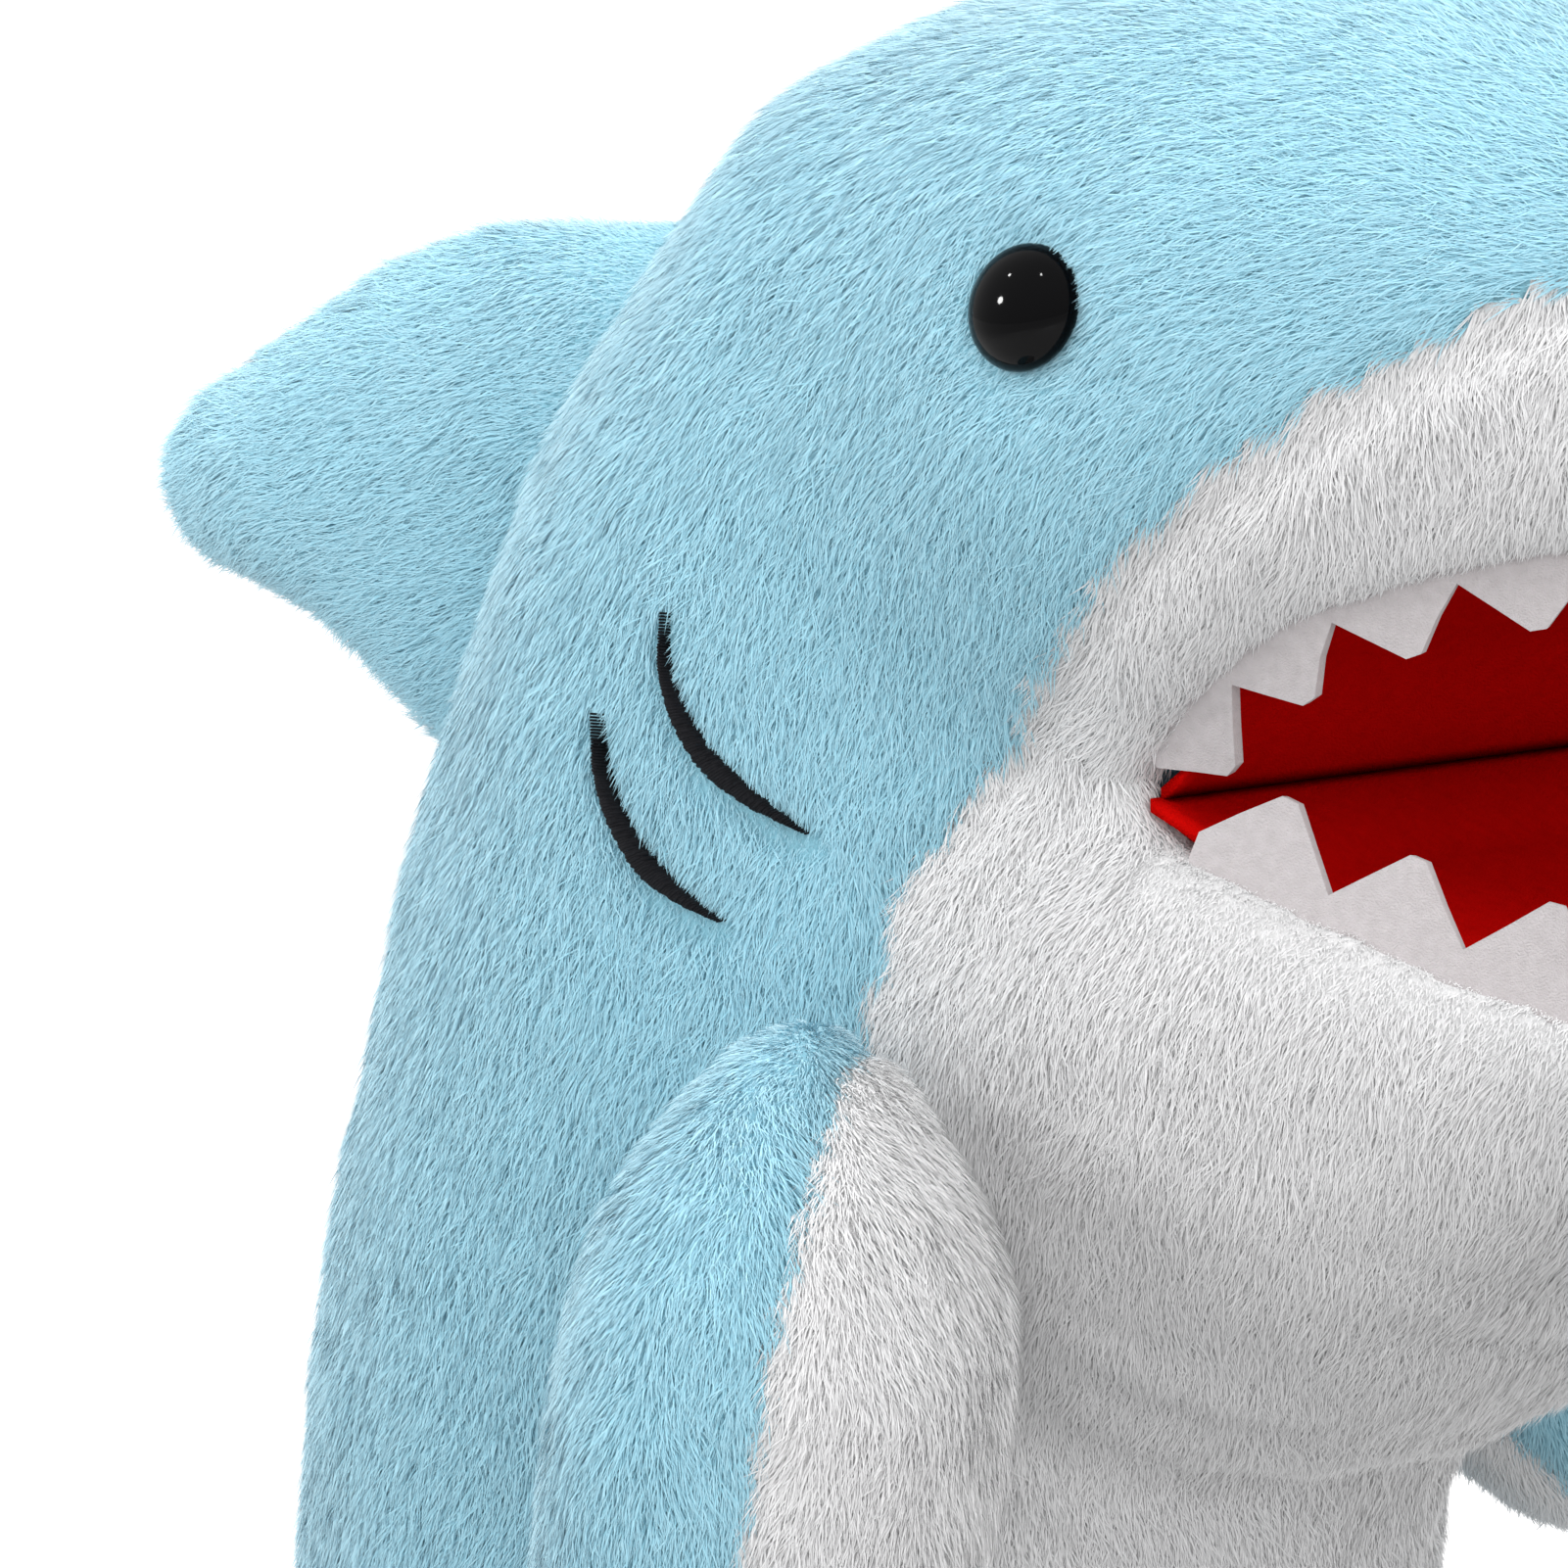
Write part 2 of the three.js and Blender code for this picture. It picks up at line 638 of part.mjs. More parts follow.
const REAR = 40;
const fingerPocket = pocketForm(0, REAR).subtract(pocketForm(LINING, REAR + 5)).intersect(headRegion);
const thumbPocket = thumbForm(0, REAR).subtract(thumbForm(LINING, REAR + 5)).intersect(jawRegion);

const aboveTeeth = liningPlate(upperLip, 1, 0.2 + FELT + GAP, FAR);
const belowTeeth = liningPlate(lowerLip, -1, 0.2 + FELT + GAP, FAR);
const headStuffing = coreForm
  .intersect(headRegion)
  .intersect(aboveTeeth)
  .subtract(pocketForm(-GAP, REAR + 5))
  .subtract(upperToothRoom)
  .subtract(washerRoom(1).add(washerRoom(-1)))
  .subtract(shankRoom(1).add(shankRoom(-1)));
const jawStuffing = coreForm
  .intersect(jawRegion)
  .intersect(belowTeeth)
  .subtract(thumbForm(-GAP, REAR + 5))
  .subtract(lowerToothRoom);

const model = new THREE.Group();
const place = (name, body, material) => model.add(meshOf(name, body, material));

place('hem_band', hemBand, liningCloth);
place('back_skin', backSkin, bluePlush);
place('belly_skin', bellySkin, whitePlush);
place('sleeve_lining', sleeveLining, liningCloth);
place('crown_skin', crownSkin, bluePlush);
place('upper_lip_skin', lipSkin, whitePlush);
place('head_stuffing', headStuffing, fibre);
place('finger_pocket', fingerPocket, liningCloth);
place('palate_lining', palate, redFelt);
place('upper_teeth', upperTeeth, whiteFelt);
place('jaw_skin', jawSkin, whitePlush);
place('jaw_stuffing', jawStuffing, fibre);
place('thumb_pocket', thumbPocket, liningCloth);
place('mouth_floor_lining', mouthFloor, redFelt);
place('lower_teeth', lowerTeeth, whiteFelt);

[['left', 1], ['right', -1]].forEach(([label, side]) => {
  place(`eye_${label}`, eyeBody(side), blackPlastic);
  place(`eye_washer_${label}`, eyeWasher(side), clearPlastic);
  place(`gill_stitch_front_${label}`, gillStitch(gillLines[0], side), blackThread);
  place(`gill_stitch_rear_${label}`, gillStitch(gillLines[1], side), blackThread);
});

const rightRoot = [-64, 25, -18];
const leftRoot = [44, 31, -50];
model.add(finPieces('pectoral_right', pectoralOutline, PECTORAL_HALF_THICK,
  finFrame([-0.28, 0.0, -0.95], [-0.86, -0.42, 0.2], rightRoot), blueBehind));
model.add(finPieces('pectoral_left', pectoralOutline, PECTORAL_HALF_THICK,
  finFrame([0.93, -0.05, -0.2], [-0.15, -0.35, -0.92], leftRoot), blueAhead));
model.add(finPieces('dorsal_fin', dorsalOutline, DORSAL_HALF_THICK,
  finFrame([0, 0.93, 0.0], [0, 0.0, 0.93], [0, 86, 22]), allBlue));
model.add(finPieces('tail_fin', tailOutline, TAIL_HALF_THICK,
  finFrame([0, 1, 0], [0, 0, 1], [0, 122, -142]), allBlue));

// Stand the hem on the floor, centred under the whole puppet.
const box = new THREE.Box3().setFromObject(model);
const root = new THREE.Group();
model.position.set(-(box.min.x + box.max.x) / 2, -(box.min.y + box.max.y) / 2, -box.min.z);
root.add(model);
root.updateMatrixWorld(true);

export default root;
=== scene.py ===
"""Plush shark glove puppet: pile cloth skins, felt mouth, stuffed fins."""
import json
import math

import bmesh
import bpy
import numpy as np
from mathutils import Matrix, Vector
from mathutils.bvhtree import BVHTree


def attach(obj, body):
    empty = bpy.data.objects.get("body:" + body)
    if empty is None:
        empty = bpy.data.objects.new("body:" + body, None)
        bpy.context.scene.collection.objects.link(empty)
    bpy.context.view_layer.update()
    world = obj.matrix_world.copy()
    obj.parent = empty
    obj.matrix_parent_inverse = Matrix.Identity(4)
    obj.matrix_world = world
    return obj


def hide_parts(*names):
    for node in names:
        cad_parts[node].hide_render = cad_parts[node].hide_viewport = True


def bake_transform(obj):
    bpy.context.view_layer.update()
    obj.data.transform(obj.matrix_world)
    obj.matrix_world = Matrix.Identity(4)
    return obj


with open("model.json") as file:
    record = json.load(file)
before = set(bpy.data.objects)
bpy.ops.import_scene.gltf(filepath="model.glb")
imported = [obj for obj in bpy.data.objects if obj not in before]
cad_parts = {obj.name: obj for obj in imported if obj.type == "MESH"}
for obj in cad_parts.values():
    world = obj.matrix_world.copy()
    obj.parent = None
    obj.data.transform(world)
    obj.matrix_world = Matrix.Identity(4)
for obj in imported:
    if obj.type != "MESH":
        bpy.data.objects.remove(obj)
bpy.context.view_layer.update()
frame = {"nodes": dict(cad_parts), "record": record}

bl_info = {
    "name": "Plush Shark Puppet",
    "version": (1, 0, 0),
    "blender": (4, 5, 0),
    "location": "View3D > Sidebar > Shark",
    "description": "Builds the pile skins, mouth, eyes and fins of a glove puppet",
    "category": "Object",
}

JOINTS = {j["name"]: j for j in frame["record"]["behaviour"]["joints"]}
HINGE = np.array(JOINTS["head_nod"]["pos_m"], float)
MM = 0.001
VIEW_TURN = -55.0
VIEW_RISE = 5.0


# ---------------------------------------------------------------- settings
class SharkShape(bpy.types.PropertyGroup):
    skin_cell: bpy.props.FloatProperty(
        name="Skin cell", description="Mesh size of the skins", default=0.0024,
        min=0.001, unit="LENGTH", subtype="DISTANCE")
    seam_depth: bpy.props.FloatProperty(
        name="Seam depth", description="How far a sewn seam pulls in", default=0.0014,
        unit="LENGTH", subtype="DISTANCE")
    pile_length: bpy.props.FloatProperty(
        name="Pile length", description="Length of the cloth's pile", default=0.0032,
        unit="LENGTH", subtype="DISTANCE")
    pile_density: bpy.props.FloatProperty(
        name="Pile density", description="Tufts on a square millimetre where it is fullest",
        default=13.0, min=0.1)
    felt_thick: bpy.props.FloatProperty(
        name="Felt thickness", description="Thickness of the teeth and mouth felt",
        default=0.0013, unit="LENGTH", subtype="DISTANCE")
    eye_width: bpy.props.FloatProperty(
        name="Eye width", description="Width of the domed eye", default=0.0125,
        unit="LENGTH", subtype="DISTANCE")


class SharkColours(bpy.types.PropertyGroup):
    blue: bpy.props.FloatVectorProperty(
        name="Blue pile", description="Back, crown and fins", subtype="COLOR",
        default=(0.265, 0.555, 0.67))
    white: bpy.props.FloatVectorProperty(
        name="White pile", description="Belly, jaw and lip", subtype="COLOR",
        default=(0.69, 0.69, 0.695))
    red: bpy.props.FloatVectorProperty(
        name="Mouth felt", description="Lining of the mouth", subtype="COLOR",
        default=(0.53, 0.0025, 0.0018))


def shape():
    """The sizes on the panel."""
    return bpy.context.scene.shark_shape


def colours():
    """The colours on the panel."""
    return bpy.context.scene.shark_colours


# ---------------------------------------------------------------- the form
# Heights and distances are millimetres from the mouth corners' hinge line.
SLEEVE = [  # height, centre behind, half width, half depth back and belly
    (-190, 68.0, 54.9, 51.1, 51.1),
    (-114, 66.5, 59.5, 54.4, 55.3),
    (-72, 64.5, 61.0, 55.5, 58.9),
    (-50, 61.5, 61.0, 55.5, 62.9),
    (-29, 58.0, 60.1, 53.8, 63.5),
    (-8, 55.2, 58.9, 51.1, 59.9),
    (16, 50.5, 57.0, 46.1, 51.6),
    (36, 45.0, 54.0, 41.6, 43.8),
    (52, 40.5, 48.2, 33.9, 36.1),
    (65, 37.0, 39.0, 27.2, 28.9),
    (75, 32.0, 20.1, 13.3, 14.4),
]
HEAD = [  # ahead, centre height, half width, half height up and down
    (-53.4, 32, 52.1, 40.5, 45),
    (-16.9, 37, 56.0, 44.5, 46),
    (0.0, 38, 55.4, 44, 45),
    (17.8, 39, 53.2, 42, 38),
    (35.6, 41, 48.7, 37, 33),
    (53.4, 43, 42.0, 30, 29),
    (68.5, 43.5, 33.6, 23, 24),
    (79.2, 43, 24.6, 16.5, 18),
    (85.9, 42.5, 15.7, 10.5, 11),
    (89.0, 42, 7.8, 5.5, 5.8),
]
JAW = [
    (-52.2, -25, 51.0, 40, 45),
    (-23.2, -24, 52.0, 37, 50),
    (0.0, -23, 52.0, 36, 45),
    (18.0, -22, 47.8, 27, 36),
    (33.1, -20, 43.2, 22, 27),
    (45.2, -20, 35.4, 16, 19),
    (52.8, -21, 25.0, 11, 12.5),
    (58.0, -22, 12.5, 6.5, 6.5),
]
UPPER_LIP = [(4.5, 3.0), (-6, 12.2), (-16, 18.2), (-29, 22.8), (-41, 25.0), (-89, 36), (-119, 43)]
LOWER_LIP = [(4.5, -2.6), (-6, -6.4), (-17, -10.8), (-27, -14.2), (-38, -17.4), (-58, -21.5), (-148, -29)]
SEAM = [
    (-119, 63), (-99, 60), (-68, 55.5), (-47, 49.5), (-29, 41.7), (-8, 27.8),
    (1, 20.4), (14, 5.6), (25, -7.4), (28.5, -18), (32, -40), (34, -90),
    (38, -230),
]


def eased(rows, count):
    """Rows of numbers, filled in smoothly between the given ones."""
    rows = np.array(rows, float)
    last = len(rows) - 1
    t = np.linspace(0, last, count)
    i = np.clip(t.astype(int), 0, last - 1)
    f = (t - i)[:, None]
    a, b = rows[np.maximum(i - 1, 0)], rows[i]
    c, d = rows[i + 1], rows[np.minimum(i + 2, last)]
    return b + 0.5 * f * (c - a + f * (2 * a - 5 * b + 4 * c - d + f * (3 * (b - c) + d - a)))


def grow(rows, more):
    """Stations with every half width and depth made larger by one amount."""
    rows = np.array(rows, float)
    rows[:, 2:] += more
    return rows


def loft(rows, upright, power=2.0, sides=56, count=64):
    """Closed body through oval stations, in millimetres."""
    rows = eased(rows, count)
    turn = np.linspace(0, 2 * math.pi, sides, endpoint=False)
    cs, sn = np.cos(turn), np.sin(turn)
    cs = np.sign(cs) * np.abs(cs) ** (2 / power)
    sn = np.sign(sn) * np.abs(sn) ** (2 / power)
    points = []
    for along, centre, wide, up, down in rows:
        lift = np.where(sn > 0, up, down) * sn
        x = wide * cs
        if upright:
            ring = np.stack([x, centre + lift, np.full(sides, along)], 1)
        else:
            ring = np.stack([x, np.full(sides, -along), centre + lift], 1)
        points.append(ring)
    faces = []
    for k in range(count - 1):
        for i in range(sides):
            j = (i + 1) % sides
            a, b = k * sides + i, k * sides + j
            faces.append((a, b, b + sides, a + sides))
    faces.append(tuple(range(sides))[::-1])
    faces.append(tuple((count - 1) * sides + i for i in range(sides)))
    return np.concatenate(points), faces


def place(points):
    """Millimetres about the hinge line to metres in the row's frame."""
    return np.asarray(points, float) * MM + HINGE


def new_mesh(name, points, faces, smooth=True):
    """A mesh object from points in metres and faces."""
    mesh = bpy.data.meshes.new(name)
    mesh.from_pydata(np.asarray(points).tolist(), [], [tuple(f) for f in faces])
    mesh.validate()
    if smooth:
        mesh.shade_smooth()
    body = bpy.data.objects.new(name, mesh)
    bpy.context.scene.collection.objects.link(body)
    return body


def face_out(body):
    """Turns every face of a closed body outward."""
    edit = bmesh.new()
    edit.from_mesh(body.data)
    bmesh.ops.recalc_face_normals(edit, faces=edit.faces)
    edit.to_mesh(body.data)
    edit.free()
    return body


def settle(body):
    """Applies every modifier on a body."""
    bpy.context.view_layer.update()
    graph = bpy.context.evaluated_depsgraph_get()
    mesh = bpy.data.meshes.new_from_object(body.evaluated_get(graph))
    old = body.data
    body.modifiers.clear()
    body.data = mesh
    bpy.data.meshes.remove(old)
    return body


def arrays(body):
    """A body's points and its edges' point pairs."""
    mesh = body.data
    points = np.empty(len(mesh.vertices) * 3)
    mesh.vertices.foreach_get("co", points)
    pairs = np.empty(len(mesh.edges) * 2, int)
    mesh.edges.foreach_get("vertices", pairs)
    return points.reshape(-1, 3), pairs.reshape(-1, 2)


def put_back(body, points):
    body.data.vertices.foreach_set("co", np.asarray(points, float).ravel())
    body.data.update()


def neighbours_mean(points, pairs):
    count = len(points)
    total = np.zeros_like(points)
    for k in range(3):
        total[:, k] = np.bincount(pairs[:, 0], points[pairs[:, 1], k], count)
        total[:, k] += np.bincount(pairs[:, 1], points[pairs[:, 0], k], count)
    share = np.bincount(pairs.ravel(), minlength=count)
    return total / np.maximum(share, 1)[:, None]


def relax(body, rounds):
    """Moves each point half way to the middle of its neighbours, some rounds."""
    points, pairs = arrays(body)
    for _ in range(rounds):
        points += (neighbours_mean(points, pairs) - points) * 0.5
    put_back(body, points)


def point_normals(body):
    values = np.empty(len(body.data.vertices) * 3)
    body.data.vertices.foreach_get("normal", values)
    return values.reshape(-1, 3)


def remesh(body, cell):
    body.modifiers.new("cells", "REMESH").voxel_size = cell
    body.modifiers["cells"].mode = "VOXEL"
    return settle(body)


def carve(body, tool):
    """Cuts one body out of another and drops the tool."""
    cut = body.modifiers.new("carve", "BOOLEAN")
    cut.operation, cut.solver, cut.object = "DIFFERENCE", "EXACT", tool
    settle(body)
    bpy.data.objects.remove(tool)
    return body


def noise(points, size, seed=0):
    """Smooth value noise from -1 to 1, size in the points' unit."""
    p = np.asarray(points) / size + 1000.0
    cell = np.floor(p).astype(np.int64)
    f = p - cell
    f = f * f * (3 - 2 * f)
    total = 0
    for dx in (0, 1):
        for dy in (0, 1):
            for dz in (0, 1):
                c = cell + (dx, dy, dz)
                h = (c[:, 0] * 73856093) ^ (c[:, 1] * 19349663) ^ (c[:, 2] * 83492791)
                h = (h ^ (seed * 2654435761)) & 0x7FFFFFFF
                h = (h * 1103515245 + 12345) & 0x7FFFFFFF
                h = (h ^ (h >> 13)) * 69069 & 0x7FFFFFFF
                value = (h & 0xFFFF) / 32767.5 - 1
                wx = f[:, 0] if dx else 1 - f[:, 0]
                wy = f[:, 1] if dy else 1 - f[:, 1]
                wz = f[:, 2] if dz else 1 - f[:, 2]
                total = total + value * wx * wy * wz
    return total


def dist_to_line(points, line):
    """Distance and signed side of (y, z) points to a polyline."""
    line = eased(line, 90)
    best = np.full(len(points), 1e9)
    side = np.zeros(len(points))
    for a, b in zip(line[:-1], line[1:]):
        d = b - a
        t = np.clip(((points - a) @ d) / (d @ d), 0, 1)
        off = points - a - t[:, None] * d
        r = np.hypot(off[:, 0], off[:, 1])
        near = r < best
        best[near] = r[near]
        side[near] = np.sign(d[0] * off[:, 1] - d[1] * off[:, 0])[near]
    return best, side


def seam_side(points):
    """Positive on the blue side of the long seam, in millimetres."""
    r, side = dist_to_line(points[:, 1:], SEAM)
    return r * side


def smoothstep(x, low, high):
    t = np.clip((x - low) / (high - low), 0, 1)
    return t * t * (3 - 2 * t)


def lip_height(y, line):
    """Height of a lip line at a distance behind the hinge."""
    rows = np.array(line, float)[::-1]
    return np.interp(y, rows[:, 0], rows[:, 1])


# ---------------------------------------------------------------- finishes
def finish_nodes(name, colour, rough, sheen=0.0):
    mat = bpy.data.materials.new(name)
    mat.use_nodes = True
    shader = mat.node_tree.nodes["Principled BSDF"]
    shader.inputs["Base Color"].default_value = (*colour, 1)
    shader.inputs["Roughness"].default_value = rough
    shader.inputs["Sheen Weight"].default_value = sheen
    shader.inputs["Sheen Roughness"].default_value = 0.5
    return mat, mat.node_tree, shader


def mottled(name, low, high, cell, depth, rough=0.95, sheen=0.2, weave=0.0):
    """Cloth or felt: two shades through noise, with a fibre or weave bump."""
    mat, tree, shader = finish_nodes(name, low, rough, sheen)
    nodes, links = tree.nodes, tree.links
    where = nodes.new("ShaderNodeTexCoord").outputs["Object"]
    cloud = nodes.new("ShaderNodeTexNoise")
    cloud.inputs["Scale"].default_value = 1 / cell
    cloud.inputs["Detail"].default_value = 6
    links.new(where, cloud.inputs["Vector"])
    mix = nodes.new("ShaderNodeMix")
    mix.data_type = "RGBA"
    mix.inputs[6].default_value = (*low, 1)
    mix.inputs[7].default_value = (*high, 1)
    links.new(cloud.outputs["Fac"], mix.inputs[0])
    links.new(mix.outputs[2], shader.inputs["Base Color"])
    fine = nodes.new("ShaderNodeTexNoise")
    fine.inputs["Scale"].default_value = 6 / cell
    fine.inputs["Detail"].default_value = 8
    links.new(where, fine.inputs["Vector"])
    height = fine.outputs["Fac"]
    if weave:
        wave = nodes.new("ShaderNodeTexWave")
        wave.inputs["Scale"].default_value = weave
        wave.inputs["Distortion"].default_value = 1.0
        links.new(where, wave.inputs["Vector"])
        blend = nodes.new("ShaderNodeMath")
        blend.operation = "ADD"
        links.new(wave.outputs["Fac"], blend.inputs[0])
        links.new(height, blend.inputs[1])
        height = blend.outputs[0]
    bump = nodes.new("ShaderNodeBump")
    bump.inputs["Distance"].default_value = depth
    bump.inputs["Strength"].default_value = 0.8
    links.new(height, bump.inputs["Height"])
    links.new(bump.outputs["Normal"], shader.inputs["Normal"])
    return mat


def once(name, make):
    """The finish of that name, made the first time that it is asked for."""
    name = f"shark_{name}"
    return bpy.data.materials.get(name) or make(name)


def dial(mat, socket, value):
    """Sets one value of a finish."""
    mat.node_tree.nodes["Principled BSDF"].inputs[socket].default_value = value
    return mat


def tinted(colour, amount):
    """A colour moved toward white, or toward black where amount is negative."""
    c = np.array(colour)
    return tuple(c + (1 - c) * amount) if amount > 0 else tuple(c * (1 + amount))


def blue_backing(name="blue_backing"):
    # Mottled at random from a darker blue to the pile's blue. The backing is kept darker than every pile
    # tone as painted shade under the tufts.
    deep = tinted(colours().blue, -0.25)
    return once(name, lambda n: mottled(n, deep, colours().blue[:], 0.004, 0.0006))


def white_backing(name="white_backing"):
    # Mottled at random from a darker white to the pile's white. The backing is kept darker than every pile
    # tone as painted shade under the tufts.
    low = tinted(colours().white, -0.22)
    return once(name, lambda n: mottled(n, low, colours().white[:], 0.004, 0.0006))


def red_felt(name="red_felt"):
    def make(n):
        low = tinted(colours().red, -0.3)
        felt = mottled(n, low, colours().red[:], 0.0016, 0.0004, 1.0, 0.0)
        return dial(felt, "Specular IOR Level", 0.0)
    return once(name, make)


def tooth_felt(name="tooth_felt"):
    # The white felt is given a grey with a faint pink cast: painted shade under the lip.
    return once(name, lambda n: mottled(n, (0.39, 0.36, 0.365), (0.52, 0.49, 0.50),
                                        0.0012, 0.0003, 0.95, 0.1))


def lining_cloth(name="lining_cloth"):
    return once(name, lambda n: mottled(n, (0.62, 0.66, 0.69), (0.74, 0.78, 0.80),
                                        0.003, 0.0002, 0.85, 0.1, 400))


def loose_fibre(name="loose_fibre"):
    return once(name, lambda n: mottled(n, (0.75, 0.75, 0.72), (0.9, 0.9, 0.87),
                                        0.004, 0.002, 1.0, 0.3))


def black_thread(name="black_thread"):
    def make(n):
        satin = mottled(n, (0.002, 0.002, 0.003), (0.010, 0.010, 0.012), 0.0007, 0.00012,
                        0.8, 0.0)
        return dial(satin, "Specular IOR Level", 0.15)
    return once(name, make)


def eye_plastic(name="eye_plastic"):
    def make(n):
        gloss = mottled(n, (0.0008, 0.0008, 0.001), (0.0016, 0.0016, 0.002), 0.02, 0.00002,
                        0.05, 0.0)
        return dial(gloss, "IOR", 1.17)
    return once(name, make)


def clear_plastic(name="washer_plastic"):
    return once(name, lambda n: mottled(n, (0.6, 0.6, 0.57), (0.7, 0.7, 0.67), 0.01,
                                        0.0001, 0.35, 0.0))


def pile_tones_painted_shade(kind):
    """Three tip shades and two darker root shades of one colour of pile; the darker roots are painted shade
    deep in the pile.
    """
    made = []
    base = colours().blue if kind == "blue" else colours().white
    # Every tone is lightened from the base colour. The root tones are lightened less, as painted shade in
    # the pile's depth.
    depth_shade_steps = (0.12, 0.09, 0.07, 0.04, 0.02) if kind == "blue" else (0.05, 0.035, 0.02, 0.01, 0.0)
    for k, step in enumerate(depth_shade_steps):
        name = f"{kind}_pile_{k + 1}"
        mat = bpy.data.materials.get(name)
        if mat is None:
            mat = finish_nodes(name, tinted(base, step), 0.9, 0.4)[0]
        made.append(mat)
    return made


# ---------------------------------------------------------------- the pile
def triangles_of(body):
    mesh = body.data
    mesh.calc_loop_triangles()
    corner = np.empty(len(mesh.loop_triangles) * 3, int)
    mesh.loop_triangles.foreach_get("vertices", corner)
    points, _ = arrays(body)
    corner = corner.reshape(-1, 3)
    return points[corner], point_normals(body)[corner]


def unit(v):
    return v / np.maximum(np.linalg.norm(v, axis=-1, keepdims=True), 1e-12)


TO_CAMERA = np.array([math.sin(math.radians(VIEW_TURN)), -math.cos(math.radians(VIEW_TURN)), 0.09])


def crowd(points, normals):
    """How dense the pile is: fullest on the side that is looked at most."""
    facing = smoothstep(normals @ TO_CAMERA, -0.25, 0.3)
    high = smoothstep(points[:, 2], -110, -85)
    return 0.22 + 0.78 * facing * (0.25 + 0.75 * high)


def sow(body, per_area, seed):
    """Root points spread over a body's faces, with normals, in millimetres."""
    corners, normals = triangles_of(body)
    corners = (corners - HINGE) / MM
    area = np.linalg.norm(np.cross(corners[:, 1] - corners[:, 0], corners[:, 2] - corners[:, 0]), axis=1) / 2
    share = crowd(corners.mean(1), unit(normals.mean(1)))
    weight = area * share
    rng = np.random.default_rng(seed)
    count = int(weight.sum() * per_area)
    pick = np.searchsorted(np.cumsum(weight) / weight.sum(), rng.random(count))
    a, b = rng.random((2, count))
    flip = a + b > 1
    a[flip], b[flip] = 1 - a[flip], 1 - b[flip]
    mixing = np.stack([1 - a - b, a, b], 1)[:, :, None]
    roots = (corners[pick] * mixing).sum(1)
    away = unit((normals[pick] * mixing).sum(1))
    return roots, away, share[pick], rng


def turned(v, axis, angle):
    """Vectors turned about unit axes."""
    c, s = np.cos(angle)[:, None], np.sin(angle)[:, None]
    return v * c + np.cross(axis, v) * s + axis * (v * axis).sum(1, keepdims=True) * (1 - c)


def pile(name, body, kind, comb, long, seed, join, part=1.0):
    """Tufts of pile on a body: ribbons narrowing to a point, combed one way."""
    roots, away, share, rng = sow(body, shape().pile_density * part, seed)
    span = long(roots) * shape().pile_length / MM
    keep = span > 0.15
    roots, away, share, span = roots[keep], away[keep], share[keep], span[keep]
    count = len(roots)
    span = span * (1 + 0.28 * rng.standard_normal(count)).clip(0.4, 1.6)
    flow = comb(roots)
    flow = unit(flow - away * (flow * away).sum(1, keepdims=True))
    swirl = 0.45 * noise(roots, 8.0, seed) + 0.25 * noise(roots, 2.6, seed + 1)
    flow = turned(flow, away, swirl + 0.24 * rng.standard_normal(count))
    lift = np.radians(20 + 4 * noise(roots, 3.2, seed + 2) + 4 * rng.standard_normal(count))
    low = away * np.sin(lift)[:, None] + flow * np.cos(lift)[:, None]
    lift = lift * 0.55
    high = away * np.sin(lift)[:, None] + flow * np.cos(lift)[:, None]
    across = unit(np.cross(flow, away))
    across = turned(across, low, rng.uniform(-0.4, 0.4, count))
    half = (0.5 * 0.14 * share ** -0.3 * rng.uniform(0.7, 1.3, count))[:, None]
    middle = roots + low * (span * 0.5)[:, None]
    end = middle + high * (span * 0.5)[:, None]
    base = roots - away * 0.4
    points = np.stack([base - across * half, base + across * half,
                       middle - across * half * 0.85, middle + across * half * 0.85, end], 1)
    start = np.arange(count)[:, None] * 5
    faces = (start + np.array([[0, 1, 3, 0, 3, 2, 2, 3, 4]])).reshape(-1)
    face_up = np.cross(across, low)
    face_up *= np.sign((face_up * away).sum(1, keepdims=True))
    shine = unit(0.93 * away + 0.07 * face_up + 0.03 * rng.standard_normal((count, 3)))
    # Tip tones vary at random by bundle. The root faces take the two darker root tones, painted shade deep
    # in the pile.
    bundle = noise(roots, 9.0, seed + 3) * 0.9 + 0.55 * rng.standard_normal(count)
    tip = np.clip((1.5 - bundle * 1.4).astype(int), 0, 2)
    deep = np.where(noise(roots, 4.0, seed + 4) + 0.5 * rng.standard_normal(count) > 0.2, 4, 3)
    tone = np.stack([deep, deep, tip], 1).reshape(-1)

    mesh = bpy.data.meshes.new(name)
    mesh.vertices.add(count * 5)
    mesh.vertices.foreach_set("co", place(points.reshape(-1, 3)).ravel())
    mesh.loops.add(len(faces))
    mesh.loops.foreach_set("vertex_index", faces)
    mesh.polygons.add(count * 3)
    mesh.polygons.foreach_set("loop_start", np.arange(count * 3) * 3)
    for mat in pile_tones_painted_shade(kind):
        mesh.materials.append(mat)
    mesh.polygons.foreach_set("material_index", tone.astype(np.int32))
    mesh.update(calc_edges=True)
    mesh.shade_smooth()
    mesh.normals_split_custom_set_from_vertices(np.repeat(shine, 5, axis=0).tolist())
    tufts = bpy.data.objects.new(name, mesh)
    bpy.context.scene.collection.objects.link(tufts)
    join(tufts)
    return tufts


# ---------------------------------------------------------------- the skins
SKIN_INSET = 1.9
FORMS = {}


